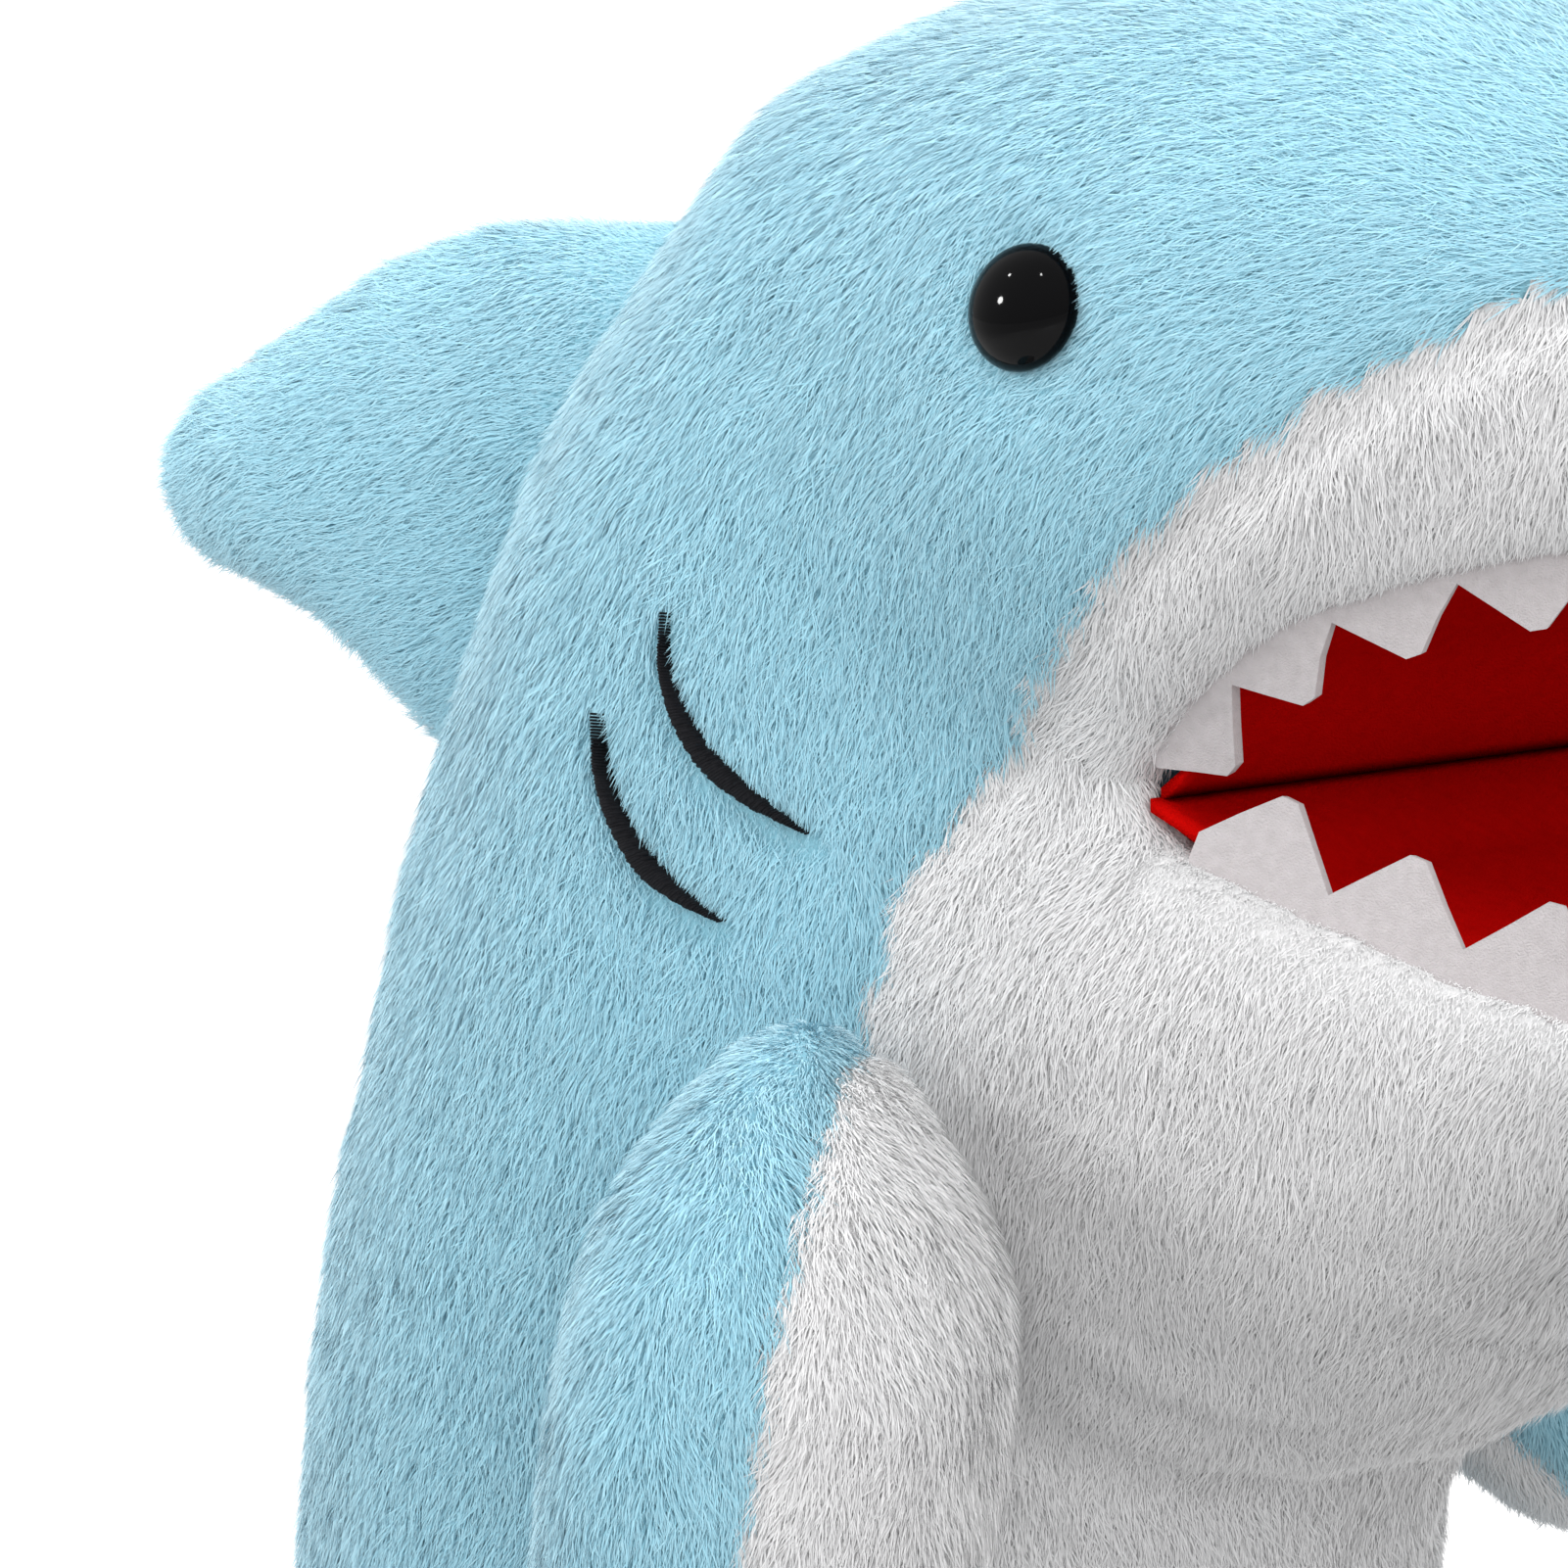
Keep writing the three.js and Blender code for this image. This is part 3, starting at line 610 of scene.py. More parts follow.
def shark_form():
    """The puppet's outside under the pile, as one closed body."""
    if "form" in FORMS:
        return FORMS["form"]
    parts = [
        loft(grow(SLEEVE, -SKIN_INSET), True),
        loft(grow(HEAD, -SKIN_INSET), False, 2.5),
        loft(grow(JAW, -SKIN_INSET), False, 2.5),
    ]
    points, faces, shift = [], [], 0
    for p, f in parts:
        points.append(p)
        faces += [tuple(i + shift for i in face) for face in f]
        shift += len(p)
    body = new_mesh("form", place(np.concatenate(points)), faces)
    remesh(body, 0.003)
    relax(body, 14)
    FORMS["form"] = body
    FORMS["tree"] = tree_of(body)
    return body


def tree_of(body):
    points, _ = arrays(body)
    faces = [tuple(p.vertices) for p in body.data.polygons]
    return BVHTree.FromPolygons(points.tolist(), faces)


def side_point(y, z, side):
    """Where the form's side is at a place in the middle plane, and its normal."""
    shark_form()
    start = Vector(place([side * 150.0, y, z]))
    hit, normal, _, _ = FORMS["tree"].ray_cast(start, Vector((-side, 0, 0)))
    if hit is None:
        raise RuntimeError(f"nothing at {y}, {z} on side {side}")
    at = (np.array(hit) - HINGE) / MM
    away = np.array(normal)
    return at, away if away[0] * side > 0 else -away


def half_width(y, z):
    """Distance from the middle plane to the form's side, from within."""
    shark_form()
    start = Vector(place([0.0, y, z]))
    hit = FORMS["tree"].ray_cast(start, Vector((1, 0, 0)))[0]
    return (hit[0] - HINGE[0]) / MM if hit is not None else 0.0


def mouth_block():
    outline = UPPER_LIP + LOWER_LIP[::-1]
    left = [(-120.0, y, z) for y, z in outline]
    right = [(120.0, y, z) for y, z in outline]
    n = len(outline)
    faces = [tuple(range(n))[::-1], tuple(range(n, 2 * n))]
    faces += [(i, (i + 1) % n, (i + 1) % n + n, i + n) for i in range(n)]
    return face_out(new_mesh("mouth_block", place(left + right), faces, False))


def softened(points, normals):
    """The cloth's own folds and hollows, as moves along the normal."""
    x, y, z = points.T
    front = smoothstep(-y, -42, -10) * smoothstep(-z, 26, 50)
    slant = np.column_stack([x * 0.3, y * 0.4, z - 0.5 * y])
    fold = noise(slant, 10.0, 11) + 0.4 * noise(slant, 6.0, 12)
    move = (0.5 - 1.5 * np.abs(fold)) * front
    back = smoothstep(y, 60, 100) * smoothstep(-z, 10, 40)
    move += -1.5 * np.clip(noise(points * (0.4, 0.6, 1.0), 11.0, 13), 0, 1) * back
    move += 0.5 * noise(points, 16.0, 14) + 0.25 * noise(points, 7.0, 15)
    r = np.hypot(y - EYE_PLACE[0], z - EYE_PLACE[1])
    move -= 2.2 * np.exp(-(r / 7.0) ** 2) * (np.abs(x) > 30)
    reach, _ = dist_to_line(points[:, 1:], SEAM)
    move -= shape().seam_depth / MM * np.exp(-(reach / 2.4) ** 2)
    return points + normals * move[:, None]


EYE_PLACE = (10.3, 47.3)
EYE_DOME = 3.9
EYE_SUNK = 1.4
EYE_TILT = (0.12, 0.3)
SPLIT = (14.0, 5.6)


def bend_head(body):
    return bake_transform(body)


def bend_jaw(body):
    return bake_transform(body)


def zone_of(points):
    """0 back and crown, 1 lip, 2 belly and jaw, 3 covered by the mouth felt."""
    y, z = points[:, 1], points[:, 2]
    overhang = 2.6 * smoothstep(z, -15, 12)
    zone = np.where(seam_side(points) > overhang, 0, 2)
    above = np.where(y < 0, z > 0, z * SPLIT[0] > y * SPLIT[1])
    zone[(zone == 2) & above] = 1
    inner = np.array([FORMS["tree"].find_nearest(Vector(p))[3] for p in place(points)]) / MM
    in_mouth = (y < 6) & (inner > 4.0)
    zone[in_mouth] = 3
    return zone


def split_skins():
    body = shark_form().copy()
    body.data = body.data.copy()
    bpy.context.scene.collection.objects.link(body)
    carve(body, mouth_block())
    remesh(body, shape().skin_cell)
    relax(body, 3)
    points, _ = arrays(body)
    local = (points - HINGE) / MM
    local = softened(local, point_normals(body))
    put_back(body, place(local))
    centres = np.array([p.center for p in body.data.polygons])
    zone = zone_of((centres - HINGE) / MM)
    low = (centres[:, 2] - HINGE[2]) / MM < HEM_TOP - 1.0
    zone[low] = 3
    return body, zone


HEM_BOTTOM, HEM_TOP = -190.0, -181.0


def part_of(body, name, keep):
    """A new piece from the faces of a body that are kept."""
    edit = bmesh.new()
    edit.from_mesh(body.data)
    edit.faces.ensure_lookup_table()
    gone = [f for f, k in zip(edit.faces, keep) if not k]
    bmesh.ops.delete(edit, geom=gone, context="FACES")
    mesh = bpy.data.meshes.new(name)
    edit.to_mesh(mesh)
    edit.free()
    mesh.shade_smooth()
    piece = bpy.data.objects.new(name, mesh)
    bpy.context.scene.collection.objects.link(piece)
    return piece


def thicken(piece, thick):
    shell = piece.modifiers.new("cloth", "SOLIDIFY")
    shell.thickness = thick
    shell.offset = -1
    return settle(piece)


def head_comb(points):
    high = smoothstep(points[:, 2], -10, 55)
    ahead = smoothstep(-points[:, 1], -30, 40)
    flow = np.zeros_like(points)
    flow[:, 1] = 0.15 + high * (0.35 + 0.65 * ahead)
    flow[:, 2] = -1.0 + 0.75 * high * ahead
    return flow


def lip_comb(points):
    flow = np.zeros_like(points)
    near = smoothstep(-points[:, 1], -10, 40)
    flow[:, 1] = 0.5 - 0.35 * near
    flow[:, 2] = -1.0
    return flow


def belly_comb(points):
    flow = np.zeros_like(points)
    flow[:, 0] = 0.25 * np.sin(points[:, 2] / 17.0)
    flow[:, 1] = 0.2
    flow[:, 2] = -1.0
    return flow


def back_span(points):
    x, y, z = points.T
    span = np.full(len(points), 1.0)
    r = np.hypot(y - EYE_PLACE[0], z - EYE_PLACE[1])
    by_eye = np.abs(x) > 30
    span = np.where(by_eye, span * (0.55 + 0.45 * smoothstep(r, 6.0, 12.0)), span)
    bare = np.hypot(y - EYE_PLACE[0] - 1.3, z - EYE_PLACE[1] - 0.6) < 4.9
    span = np.where(by_eye & bare, 0, span)
    for line in GILLS:
        reach, _ = dist_to_line(points[:, 1:], line)
        span *= np.where(np.abs(x) > 20, smoothstep(reach, 0.5, 2.6), 1)
    return span


def lip_span(points):
    height = lip_height(points[:, 1], UPPER_LIP)
    over = np.abs(points[:, 2] - height)
    return np.where(points[:, 1] < 0, 0.45 + 0.55 * smoothstep(over, 0.5, 7.0), 0.9)


def belly_span(points):
    height = lip_height(points[:, 1], LOWER_LIP)
    over = np.abs(points[:, 2] - height)
    return np.where(points[:, 1] < 2, 0.35 + 0.65 * smoothstep(over, 1.0, 12.0), 0.9)


GILLS = [
    [(49.5, 16.7), (49.2, 11), (46, 4.6), (41, 0), (34.5, -3.9)],
    [(57, 6.7), (55.7, 0), (51.6, -6.5), (47, -10.2), (42.5, -12.5)],
]


class SHARK_OT_skins(bpy.types.Operator):
    """Cuts the back, lip and belly skins and grows their pile"""
    bl_idname = "shark.skins"
    bl_label = "Body skins"

    def execute(self, context):
        body, zone = split_skins()
        plan = [
            ("plush_back", 0, "blue", blue_backing(), bend_head, ["back_skin", "crown_skin"],
             head_comb, back_span, 21),
            ("plush_lip", 1, "white", white_backing(), bend_head, ["upper_lip_skin"],
             lip_comb, lip_span, 22),
            ("plush_belly", 2, "white", white_backing(), bend_jaw, ["belly_skin", "jaw_skin"],
             belly_comb, belly_span, 23),
        ]
        for name, kind, tone, mat, bend, nodes, comb, long, seed in plan:
            piece = part_of(body, name, zone == kind)
            pile_set(name, piece, tone, comb, long, seed, bend)
            thicken(piece, 0.0015)
            piece.data.materials.clear()
            piece.data.materials.append(mat)
            bend(piece)
            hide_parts(*nodes)
        bpy.data.objects.remove(body)
        return {"FINISHED"}


def pile_set(name, piece, tone, comb, long, seed, bend):
    """A piece's pile, in batches small enough to handle."""
    parts = 4 if len(piece.data.polygons) > 7000 else 2 if len(piece.data.polygons) > 2500 else 1
    for k in range(parts):
        pile(f"{name}_pile_{k + 1}", piece, tone, comb, long, seed * 10 + k, bend, 1 / parts)


# ---------------------------------------------------------------- the fins
FINS = {
    "pectoral_right": dict(
        out=(-0.28, 0, -0.95), edge=(-0.86, -0.42, 0.2), root=(-64, 25, -18), thick=20,
        outline="pectoral", low="blue", top="white", stem=14, seam=5.0, lay=(-0.1, 0, -0.9),
        taper=(0.3, 27.0), fuller=5.0),
    "pectoral_left": dict(
        out=(0.93, -0.05, -0.2), edge=(-0.15, -0.35, -0.92), root=(44, 31, -50), thick=20,
        outline="pectoral", low="white", top="blue", stem=14, lay=(0, 0.2, -0.4),
        taper=(0.5, 24.0)),
    "dorsal_fin": dict(
        out=(0, 0.93, 0), edge=(0, 0, 0.93), root=(0, 86, 22), thick=15,
        outline="dorsal", low="blue", top="blue", stem=12, lay=(0, 0.2, -0.2)),
    "tail_fin": dict(
        out=(0, 1, 0), edge=(0, 0, 1), root=(0, 122, -142), thick=12,
        outline="tail", low="blue", top="blue", stem=10, lay=(0, 0.2, -0.2)),
}
PANEL_NAMES = {
    "pectoral_right": {1: "white_panel", -1: "blue_panel"},
    "pectoral_left": {1: "blue_panel", -1: "white_panel"},
    "dorsal_fin": {1: "left_panel", -1: "right_panel"},
    "tail_fin": {1: "left_panel", -1: "right_panel"},
}
CHORD, SPAN = 62.0, 92.0
OUTLINES = {
    "pectoral": [(c * CHORD, s * SPAN) for c, s in (
        (-0.16, 0), (0.14, 0), (0.36, 0.13), (0.47, 0.32), (0.46, 0.54), (0.34, 0.76),
        (0.14, 0.93), (-0.08, 1), (-0.24, 0.95), (-0.35, 0.78), (-0.42, 0.55),
        (-0.42, 0.3), (-0.32, 0.1))],
    "dorsal": [(26, -16), (31, 10), (29, 28), (22, 43), (15, 55), (8, 65), (-1, 67), (-7, 62),
               (-12, 50), (-18, 39), (-28, 27), (-36, 10), (-30, -16)],
    "tail": [(11, -11), (14, 2), (18, 13), (28, 24), (38, 38), (41, 48), (34, 52), (20, 47),
             (7, 40), (-2, 38), (-12, 43), (-24, 46), (-32, 43), (-30, 33), (-21, 21),
             (-13, 10), (-10, 0), (-8, -11)],
}


def closed_curve(outline, count):
    """A smooth closed line through the points, evenly spaced."""
    rows = np.array(outline, float)
    n = len(rows)
    t = np.linspace(0, n, 600, endpoint=False)
    i = t.astype(int)
    f = (t - i)[:, None]
    a, b, c, d = (rows[(i + k) % n] for k in (-1, 0, 1, 2))
    p = b + 0.5 * f * (c - a + f * (2 * a - 5 * b + 4 * c - d + f * (3 * (b - c) + d - a)))
    step = np.hypot(*(np.roll(p, -1, 0) - p).T)
    along = np.concatenate([[0], np.cumsum(step)])
    p = np.vstack([p, p[:1]])
    want = np.linspace(0, along[-1], count, endpoint=False)
    return np.stack([np.interp(want, along, p[:, k]) for k in (0, 1)], 1)


def fin_frame(fin):
    x, y = unit(np.array(fin["edge"], float)), unit(np.array(fin["out"], float))
    z = unit(np.cross(x, y))
    x = unit(np.cross(y, z))
    return np.stack([x, y, z], 1), np.array(fin["root"], float)


def fin_taper(fin, out):
    """Share of the full thickness at a distance out from the root."""
    low, reach = fin.get("taper", (1.0, 1.0))
    return low + (1 - low) * np.clip((out + 3) / reach, 0, 1) ** 0.7


def fin_pad(name, fin):
    """A puffed pad between two panels, with the ridge where they are sewn."""
    edge = closed_curve(OUTLINES[fin["outline"]], 96)
    middle = edge.mean(0)
    inset = 1.0 - SKIN_INSET / np.hypot(*(edge - middle).T).mean()
    shares = np.array([0.0, 0.14, 0.28, 0.42, 0.55, 0.67, 0.78, 0.87, 0.94, 0.98, 1.0])
    points, faces = [], []
    n = len(edge)
    for side in (1, -1):
        for share in shares[1:]:
            flat = middle + (edge - middle) * share * inset
            full = fin["thick"] - SKIN_INSET + (fin.get("fuller", 0) if side > 0 else 0)
            height = side * full * (1 - share ** 2.6) ** 0.45 * fin_taper(fin, flat[:, 1])
            points.append(np.column_stack([flat, height]))
    rings = len(shares) - 1
    tips = [(*middle, fin["thick"] - SKIN_INSET), (*middle, SKIN_INSET - fin["thick"])]
    points = np.vstack(points + [tips])
    hub = len(points) - 2
    for k in (0, 1):
        first = k * rings * n
        for i in range(n):
            j = (i + 1) % n
            faces.append((hub + k, first + i, first + j) if k == 0 else (hub + k, first + j, first + i))
            for r in range(rings - 1):
                a, b = first + r * n + i, first + r * n + j
                quad = (a, a + n, b + n, b)
                faces.append(quad if k == 0 else quad[::-1])
    turn, root = fin_frame(fin)
    return new_mesh(name, place(points @ turn.T + root), faces)


def puff(body, cell=0.0042, cap=0.004):
    """Lets the pad swell and wrinkle as stuffed cloth does."""
    remesh(body, cell)
    before, _ = arrays(body)
    cloth = body.modifiers.new("stuffing", "CLOTH").settings
    cloth.quality = 6
    cloth.mass = 0.25
    cloth.tension_stiffness = cloth.compression_stiffness = 12
    cloth.bending_stiffness = 0.4
    cloth.use_pressure = True
    cloth.uniform_pressure_force = 4.0
    cloth.effector_weights.gravity = 0
    for step in range(1, 21):
        bpy.context.scene.frame_set(step)
    settle(body)
    bpy.context.scene.frame_set(1)
    after, _ = arrays(body)
    move = after - before
    far = np.linalg.norm(move, axis=1, keepdims=True)
    put_back(body, before + move * np.minimum(1, cap / np.maximum(far, 1e-9)))
    relax(body, 2)
    body.modifiers.new("fine", "SUBSURF").levels = 1
    return settle(body)


def fin_seam(body, fin):
    """Draws the seam in where the two panels meet, and tells the sides apart."""
    turn, root = fin_frame(fin)
    points, _ = arrays(body)
    local = ((points - HINGE) / MM - root) @ turn
    normals = point_normals(body)
    local[:, 2] -= fin.get("seam", 0.0)
    depth = 1.3 * np.exp(-(local[:, 2] / 2.2) ** 2)
    depth = depth + 0.5 * noise(local, 8.0, 31) * np.exp(-(local[:, 2] / 9.0) ** 2)
    put_back(body, points - normals * depth[:, None] * MM)
    centres = np.array([p.center for p in body.data.polygons])
    return ((centres - HINGE) / MM - root) @ turn - (0, 0, fin.get("seam", 0.0))


def fin_comb(fin):
    turn, root = fin_frame(fin)

    def comb(points):
        local = (points - root) @ turn
        flow = np.tile(turn[:, 1], (len(points), 1))
        flow += np.outer(np.tanh(local[:, 2] / 6.0), turn[:, 2]) * 0.15
        flow += (0, 0, -0.45)
        near_root = 1 - smoothstep(local[:, 1], 8, 30)
        flow += near_root[:, None] * np.array(fin["lay"], float)
        return flow
    return comb


def fin_span(fin):
    turn, root = fin_frame(fin)

    def span(points):
        out = ((points - root) @ turn)[:, 1]
        return 0.4 + 0.55 * smoothstep(out, 0, 16)
    return span


class SHARK_OT_fins(bpy.types.Operator):
    """Makes the four stuffed fins, each from two panels sewn at the rim"""
    bl_idname = "shark.fins"
    bl_label = "Fins"

    def execute(self, context):
        for k, (name, fin) in enumerate(FINS.items()):
            body = puff(fin_pad(name + "_pad", fin))
            local = fin_seam(body, fin)
            turn, root = fin_frame(fin)
            low = root + turn[:, 1] * 2.0
            high = root + turn[:, 1] * (2.0 + fin["stem"])

            def bend(piece, name=name, low=low, high=high):
                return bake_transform(piece)

            panels = frame["record"]["behaviour"]["bodies"][name]
            for side, tone in ((1, fin["top"]), (-1, fin["low"])):
                node = next(n for n in panels if n.endswith(PANEL_NAMES[name][side]))
                piece = part_of(body, f"plush_{node}", local[:, 2] * side > 0)
                pile_set(piece.name, piece, tone, fin_comb(fin), fin_span(fin), 40 + 2 * k + (side > 0),
                         bend)
                thicken(piece, 0.0015)
                piece.data.materials.clear()
                piece.data.materials.append(blue_backing() if tone == "blue" else white_backing())
                bend(piece)
                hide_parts(node)
            bpy.data.objects.remove(body)
        return {"FINISHED"}


# ---------------------------------------------------------------- the mouth
def reach_of(line):
    """How far ahead the form goes at a lip line."""
    near, far = 20.0, 92.0
    for _ in range(24):
        half = (near + far) / 2
        if half_width(-half, lip_height(-half, line)) > 0.5:
            near = half
        else:
            far = half
    return near


def slab_of(name, outer, inner):
    """A thin closed plate between two grids of points."""
    m, n = outer.shape[:2]
    points = np.concatenate([outer.reshape(-1, 3), inner.reshape(-1, 3)])
    faces = []
    for i in range(m - 1):
        for j in range(n - 1):
            a = i * n + j
            faces.append((a, a + n, a + n + 1, a + 1))
            b = a + m * n
            faces.append((b, b + 1, b + n + 1, b + n))
    rim = [i * n for i in range(m)]
    rim += [(m - 1) * n + j for j in range(1, n)]
    rim += [i * n + n - 1 for i in range(m - 2, -1, -1)]
    rim += list(range(n - 2, 0, -1))
    for a, b in zip(rim, rim[1:] + rim[:1]):
        faces.append((b, a, a + m * n, b + m * n))
    return new_mesh(name, place(points), faces)


def fold_of(z, y, side):
    """Height of a felt half, drawn down to the crease where both halves meet."""
    share = np.clip((3.3 - y) / 11.0, 0, 1) ** 0.8
    return z * share - side * 0.3 * (1 - share)


def mouth_sheet(name, line, side):
    """One half of the mouth's felt, laid along a lip line."""
    reach = reach_of(line) - 1.0
    thick = shape().felt_thick / MM
    ahead = -3.2 + (reach + 3.2) * np.sin(np.linspace(0, math.pi / 2, 56))
    across = np.linspace(-1, 1, 45)
    grid = np.zeros((len(ahead), len(across), 3))
    for i, y in enumerate(-ahead):
        z = lip_height(y, line)
        wide = max(half_width(y, z) - 2.7, 0.5)
        grid[i, :, 0] = across * wide
        grid[i, :, 1] = y
        grid[i, :, 2] = fold_of(z - side * 0.5, y, side)
    flat = grid.reshape(-1, 3)
    deep = smoothstep(-flat[:, 1], 0, 25)
    crown = (0.3 if side > 0 else 1.0) * (1 - np.tile(across, len(ahead)) ** 2) * deep
    ripple = 0.3 * noise(flat, 14.0, 51) + 0.15 * noise(flat, 5.0, 52)
    flat[:, 2] -= side * (crown + ripple * deep)
    back = grid.copy()
    back[:, :, 2] += side * thick
    return slab_of(name, *((grid, back) if side < 0 else (back, grid)))


def lip_edge(line, inset, start):
    """The lip from the right corner round the front to the left corner."""
    reach = reach_of(line) - inset
    ahead = start + (reach - start) * np.sin(np.linspace(0, math.pi / 2, 120))
    half = []
    for y in -ahead:
        z = lip_height(y, line)
        half.append((-max(half_width(y, z) - inset, 0.0), y, z))
    half = np.array(half)
    half[-1, 0] = 0
    other = half[-2::-1] * (-1, 1, 1)
    return np.concatenate([half, other])


def along_path(path, share):
    """Points at shares of a path's length, and that length."""
    step = np.linalg.norm(np.diff(path, axis=0), axis=1)
    s = np.concatenate([[0], np.cumsum(step)])
    want = np.clip(share, 0, 1) * s[-1]
    return np.stack([np.interp(want, s, path[:, k]) for k in range(3)], -1), s[-1]


TOOTH_STEPS = ((0.0, 0.0), (0.22, 0.5), (0.44, 1.0), (0.56, 1.0), (0.78, 0.5))


def teeth(name, line, side, pitch, tall, start, foot, inset=1.9):
    """A zigzag strip of felt sewn in along one lip."""
    path = lip_edge(line, inset, start)
    _, length = along_path(path, np.array([0.0]))
    count = round(length / pitch)
    share, rise = [], []
    for k in range(count):
        for at, up in TOOTH_STEPS:
            share.append((k + at) / count)
            rise.append(up)
    share, rise = np.array(share + [1.0]), np.array(rise + [0.0])
    p, _ = along_path(path, share)
    before, _ = along_path(path, share - 0.01)
    after, _ = along_path(path, share + 0.01)
    t = unit(after - before)
    turn = np.abs(t[:, 1]) / np.maximum(np.hypot(t[:, 0], t[:, 1]), 1e-9)
    lean = np.stack([np.zeros(len(p)), -np.abs(t[:, 2]) * turn,
                     -side * np.maximum(np.abs(t[:, 1]), 0.5)], 1)
    inward = np.stack([-np.sign(p[:, 0]) * turn, 1 - turn, np.zeros(len(p))], 1)
    down = unit(unit(lean) + 0.16 * inward)
    face = unit(np.cross(t, down))
    wave = 0.25 * noise(p, 9.0, 61)
    rows = []
    for level in (-3.2, -0.4, 0.5, 1.0):
        height = level if level < 0 else foot + rise * (tall - foot) * level
        rows.append(p + down * np.reshape(height * np.ones(len(p)), (-1, 1)) + face * wave[:, None])
    grid = np.stack(rows, 0)
    thick = shape().felt_thick / MM
    outer = grid + face[None] * thick * 0.5
    inner = grid - face[None] * thick * 0.5
    body = face_out(slab_of(name, outer, inner))
    round_off = body.modifiers.new("soft_edge", "BEVEL")
    round_off.width, round_off.segments = 0.0003, 2
    round_off.limit_method, round_off.angle_limit = "ANGLE", math.radians(40)
    settle(body).data.shade_flat()
    return body


class SHARK_OT_mouth(bpy.types.Operator):
    """Lays the red felt in the mouth and sews in the two rows of teeth"""
    bl_idname = "shark.mouth"
    bl_label = "Mouth and teeth"

    def execute(self, context):
        plan = [
            ("palate_felt", "palate_lining", UPPER_LIP, 1, "head"),
            ("mouth_floor_felt", "mouth_floor_lining", LOWER_LIP, -1, "jaw"),
        ]
        for name, node, line, side, body in plan:
            sheet = mouth_sheet(name, line, side)
            finish(sheet, red_felt(), "red_felt", body, node)
        plan = [
            ("upper_tooth_strip", "upper_teeth", UPPER_LIP, 1, 13.4, 6.5, -3.4, 1.0, "head"),
            ("lower_tooth_strip", "lower_teeth", LOWER_LIP, -1, 14.4, 9.2, 2.2, 2.6, "jaw"),
        ]
        for name, node, line, side, pitch, tall, start, foot, body in plan:
            strip = teeth(name, line, side, pitch, tall, start, foot)
            finish(strip, tooth_felt(), "white_felt", body, node)
        return {"FINISHED"}


def finish(piece, mat, slot, body, *nodes):
    """Gives a piece its material and its body, and hides the CAD nodes that it stands for."""
    piece.data.materials.clear()
    piece.data.materials.append(mat)
    if body:
        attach(piece, body)
    if nodes:
        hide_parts(*nodes)
    return piece


# ---------------------------------------------------------------- eyes, gills
def lathe(profile, sides=64):
    """A turned solid from (radius, height) pairs, as points and faces."""
    profile = np.array(profile, float)
    turn = np.linspace(0, 2 * math.pi, sides, endpoint=False)
    points = [(0, 0, profile[0, 1])]
    for r, h in profile[1:-1]:
        points += [(r * math.cos(a), r * math.sin(a), h) for a in turn]
    points.append((0, 0, profile[-1, 1]))
    faces = []
    rings = len(profile) - 2
    last = len(points) - 1
    for i in range(sides):
        j = (i + 1) % sides
        faces.append((0, 1 + j, 1 + i))
        for r in range(rings - 1):
            a = 1 + r * sides
            faces.append((a + i, a + j, a + sides + j, a + sides + i))
        a = 1 + (rings - 1) * sides
        faces.append((a + i, a + j, last))
    return np.array(points), faces


class SHARK_OT_eyes(bpy.types.Operator):
    """Sets a domed black eye with its shank on each side of the head"""
    bl_idname = "shark.eyes"
    bl_label = "Eyes"

    def execute(self, context):
        radius = shape().eye_width / MM / 2
        profile = [(0, -13), (1.2, -13), (1.6, -12.4), (1.6, -1.2), (radius * 0.9, -0.6),
                   (radius * 0.98, -0.2), (radius, 0.4)]
        for a in np.linspace(0.0, math.pi / 2, 14)[1:]:
            profile.append((radius * math.cos(a) ** 0.95 if a < 1.57 else 0, 0.4 + EYE_DOME * math.sin(a)))
        profile[-1] = (0, profile[-1][1])
        points, faces = lathe(profile)
        for side, label in ((-1, "right"), (1, "left")):
            at, _ = side_point(*EYE_PLACE, side)
            way = Vector((side, *EYE_TILT)).normalized()
            turn = np.array(way.to_track_quat("Z", "Y").to_matrix())
            seat = at - np.array(way) * EYE_SUNK
            body = new_mesh(f"glass_black_eye_{label}", place(points @ turn.T + seat), faces)
            finish(body, eye_plastic(), "black_plastic", "head", f"eye_{label}")
        return {"FINISHED"}


def tube(path, radius, sides=6):
    """A closed thread along a path, as points and faces."""
    path = np.asarray(path, float)
    t = unit(np.gradient(path, axis=0))
    side = unit(np.cross(t, (0.31, 0.53, 0.79)))
    up = np.cross(t, side)
    turn = np.linspace(0, 2 * math.pi, sides, endpoint=False)
    radius = np.broadcast_to(radius, len(path))
    rings = [p + r * (np.outer(np.cos(turn), a) + np.outer(np.sin(turn), b))
             for p, r, a, b in zip(path, radius, side, up)]
    faces = [tuple(range(sides))[::-1]]
    for k in range(len(path) - 1):
        for i in range(sides):
            j = (i + 1) % sides
            faces.append((k * sides + i, k * sides + j, (k + 1) * sides + j, (k + 1) * sides + i))
    faces.append(tuple((len(path) - 1) * sides + i for i in range(sides)))
    return np.concatenate(rings), faces


def gather(name, parts):
    """One object from many (points, faces) parts."""
    points, faces, shift = [], [], 0
    for p, f in parts:
        points.append(p)
        faces += [tuple(i + shift for i in face) for face in f]
        shift += len(p)
    return new_mesh(name, place(np.concatenate(points)), faces)


